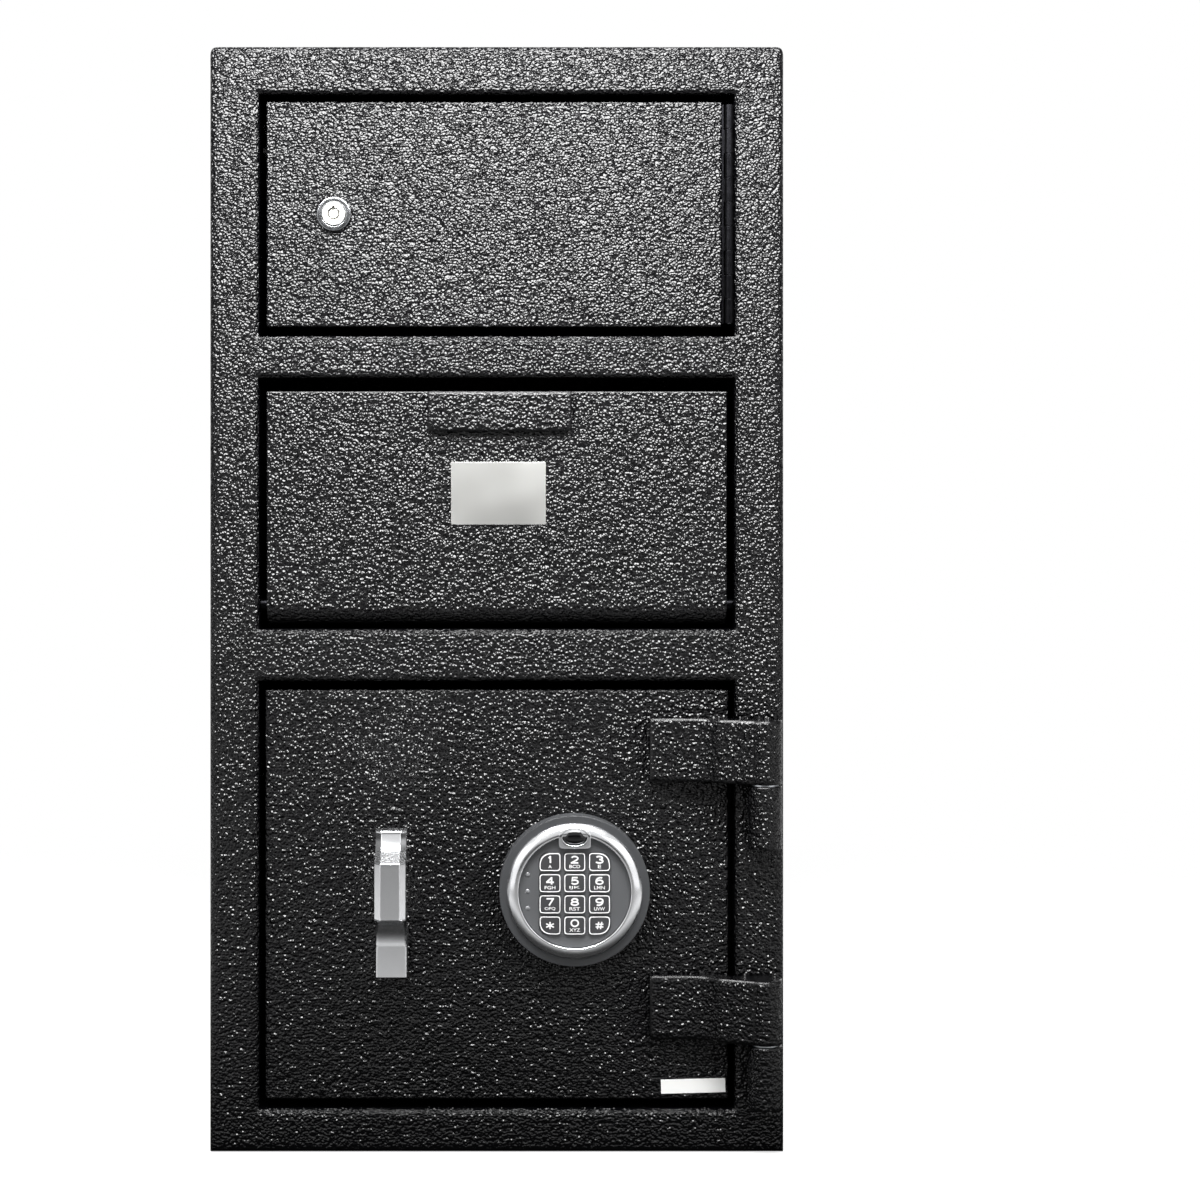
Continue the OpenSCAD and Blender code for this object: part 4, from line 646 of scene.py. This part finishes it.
def studio():
    """A white backdrop behind the safe and a room in front of it: dark at eye level, pale
    from 20 to 65 degrees up, and dark overhead and to the rear."""
    scene = bpy.context.scene
    scene.view_settings.view_transform = "Standard"
    scene.world = bpy.data.worlds.new("pale_studio")
    scene.world.use_nodes = True
    tree = scene.world.node_tree
    tree.nodes.clear()
    way = add(tree, "ShaderNodeTexCoord")
    axes = add(tree, "ShaderNodeSeparateXYZ", {0: way.outputs["Generated"]})
    pale = add(tree, "ShaderNodeMapRange", {
        "Value": axes.outputs["Z"], "From Min": 0.18, "From Max": 0.34, "To Min": 0.05,
        "To Max": 0.76}, interpolation_type="SMOOTHSTEP")
    dark = add(tree, "ShaderNodeMapRange", {
        "Value": axes.outputs["Z"], "From Min": 0.9, "From Max": 0.96, "To Min": 1.0,
        "To Max": 0.1}, interpolation_type="SMOOTHSTEP")
    rear = add(tree, "ShaderNodeMapRange", {
        "Value": axes.outputs["Y"], "From Min": -0.1, "From Max": 0.15, "To Min": 1.0,
        "To Max": 0.25}, interpolation_type="SMOOTHSTEP")
    upper = add(tree, "ShaderNodeMath", {0: pale.outputs[0], 1: dark.outputs[0]},
                operation="MULTIPLY")
    room = add(tree, "ShaderNodeMath", {0: upper.outputs[0], 1: rear.outputs[0]},
               operation="MULTIPLY")
    behind = add(tree, "ShaderNodeMapRange", {
        "Value": axes.outputs["Y"], "From Min": 0.6, "From Max": 0.85},
        interpolation_type="SMOOTHSTEP")
    seen = add(tree, "ShaderNodeLightPath")
    mirrored = add(tree, "ShaderNodeMath", {
        0: seen.outputs["Is Glossy Ray"], 1: seen.outputs["Is Transmission Ray"]},
        operation="MAXIMUM")
    backdrop = add(tree, "ShaderNodeMapRange", {
        "Value": mirrored.outputs[0], "To Min": 0.7, "To Max": 1.0})
    around = add(tree, "ShaderNodeMix", {
        0: behind.outputs[0], 2: room.outputs[0], 3: backdrop.outputs[0]})
    strength = add(tree, "ShaderNodeMix", {
        0: seen.outputs["Is Camera Ray"], 2: around.outputs[0], 3: 1.0})
    light = add(tree, "ShaderNodeBackground", {
        "Color": (1, 1, 1, 1), "Strength": strength.outputs[0]})
    add(tree, "ShaderNodeOutputWorld", {"Surface": light.outputs[0]})

    softbox("key_softbox", place=(0, -0.5, 0.99), aim=(0, -0.178, 0.91), size=(0.8, 0.42),
            watts=39)
    for name, side in (("left_softbox", -1), ("right_softbox", 1)):
        softbox(name, place=(side * 0.95, -0.85, 0.5), aim=(0, -0.18, 0.35),
                size=(1.0, 1.0), watts=3.1)


def floor():
    """A plain pale floor. It keeps the safe's soft shadow, and fades to the backdrop's
    white 0.5 to 1.1 m away. To all rays but the camera's, its colour is painted shade that
    darkens towards the safe's foot, so what the safe mirrors of it there is dark."""
    reach = 6.0
    mesh = bpy.data.meshes.new("floor")
    mesh.from_pydata((CORNER_SIGNS @ np.array([[reach, 0, 0], [0, reach, 0]])).tolist(), [],
                     [(0, 1, 2, 3)])
    material, tree, place = blank("pale_floor_with_painted_shade")
    seen = add(tree, "ShaderNodeLightPath")
    away = add(tree, "ShaderNodeVectorMath", {0: place}, operation="LENGTH")
    far = add(tree, "ShaderNodeMapRange", {
        "Value": away.outputs["Value"], "From Min": 0.5, "From Max": 1.1},
        interpolation_type="SMOOTHSTEP")
    white_share = add(tree, "ShaderNodeMath", {
        0: far.outputs[0], 1: seen.outputs["Is Camera Ray"]}, operation="MULTIPLY")
    lift = add(tree, "ShaderNodeMath", {
        0: seen.outputs["Is Camera Ray"], 1: 0.62}, operation="MULTIPLY")
    # Painted shade: to every ray but the camera's, the floor's colour falls from 0.6 to 0.02
    # towards the safe's foot, standing in for the shadow there.
    painted_shade_near_foot = add(tree, "ShaderNodeMapRange", {
        "Value": away.outputs["Value"], "From Min": 0.25, "From Max": 0.65, "To Min": 0.02,
        "To Max": 0.6}, interpolation_type="SMOOTHSTEP")
    paper_tone_with_painted_shade = add(tree, "ShaderNodeMix", {
        0: seen.outputs["Is Camera Ray"], 2: painted_shade_near_foot.outputs[0], 3: 0.5})
    paper = add(tree, "ShaderNodeBsdfDiffuse", {"Color": paper_tone_with_painted_shade.outputs[0]})
    raised = add(tree, "ShaderNodeEmission", {"Strength": lift.outputs[0]})
    near = add(tree, "ShaderNodeAddShader", {0: paper.outputs[0], 1: raised.outputs[0]})
    white = add(tree, "ShaderNodeEmission", {"Strength": 1.0})
    both = add(tree, "ShaderNodeMixShader", {
        0: white_share.outputs[0], 1: near.outputs[0], 2: white.outputs[0]})
    add(tree, "ShaderNodeOutputMaterial", {"Surface": both.outputs[0]})
    mesh.materials.append(material)
    made = bpy.data.objects.new("floor", mesh)
    bpy.context.scene.collection.objects.link(made)


def camera():
    """A level lens in line with the safe's middle, 1.25 m before its front, shifted so that
    the safe stands left of the picture's middle."""
    distance, eye, across = 1.25, 0.402, 0.7433
    front_face, view_middle = -0.178, 0.3426
    data = bpy.data.cameras.new("camera")
    data.sensor_width = 36.0
    data.lens = data.sensor_width * distance / across
    data.shift_x, data.shift_y = 0.0860, (view_middle - eye) / across
    made = bpy.data.objects.new("camera", data)
    made.location = (0.0, front_face - distance, eye)
    made.rotation_euler = (math.radians(90), 0, 0)
    bpy.context.scene.collection.objects.link(made)
    bpy.context.scene.camera = made


studio()
floor()
camera()
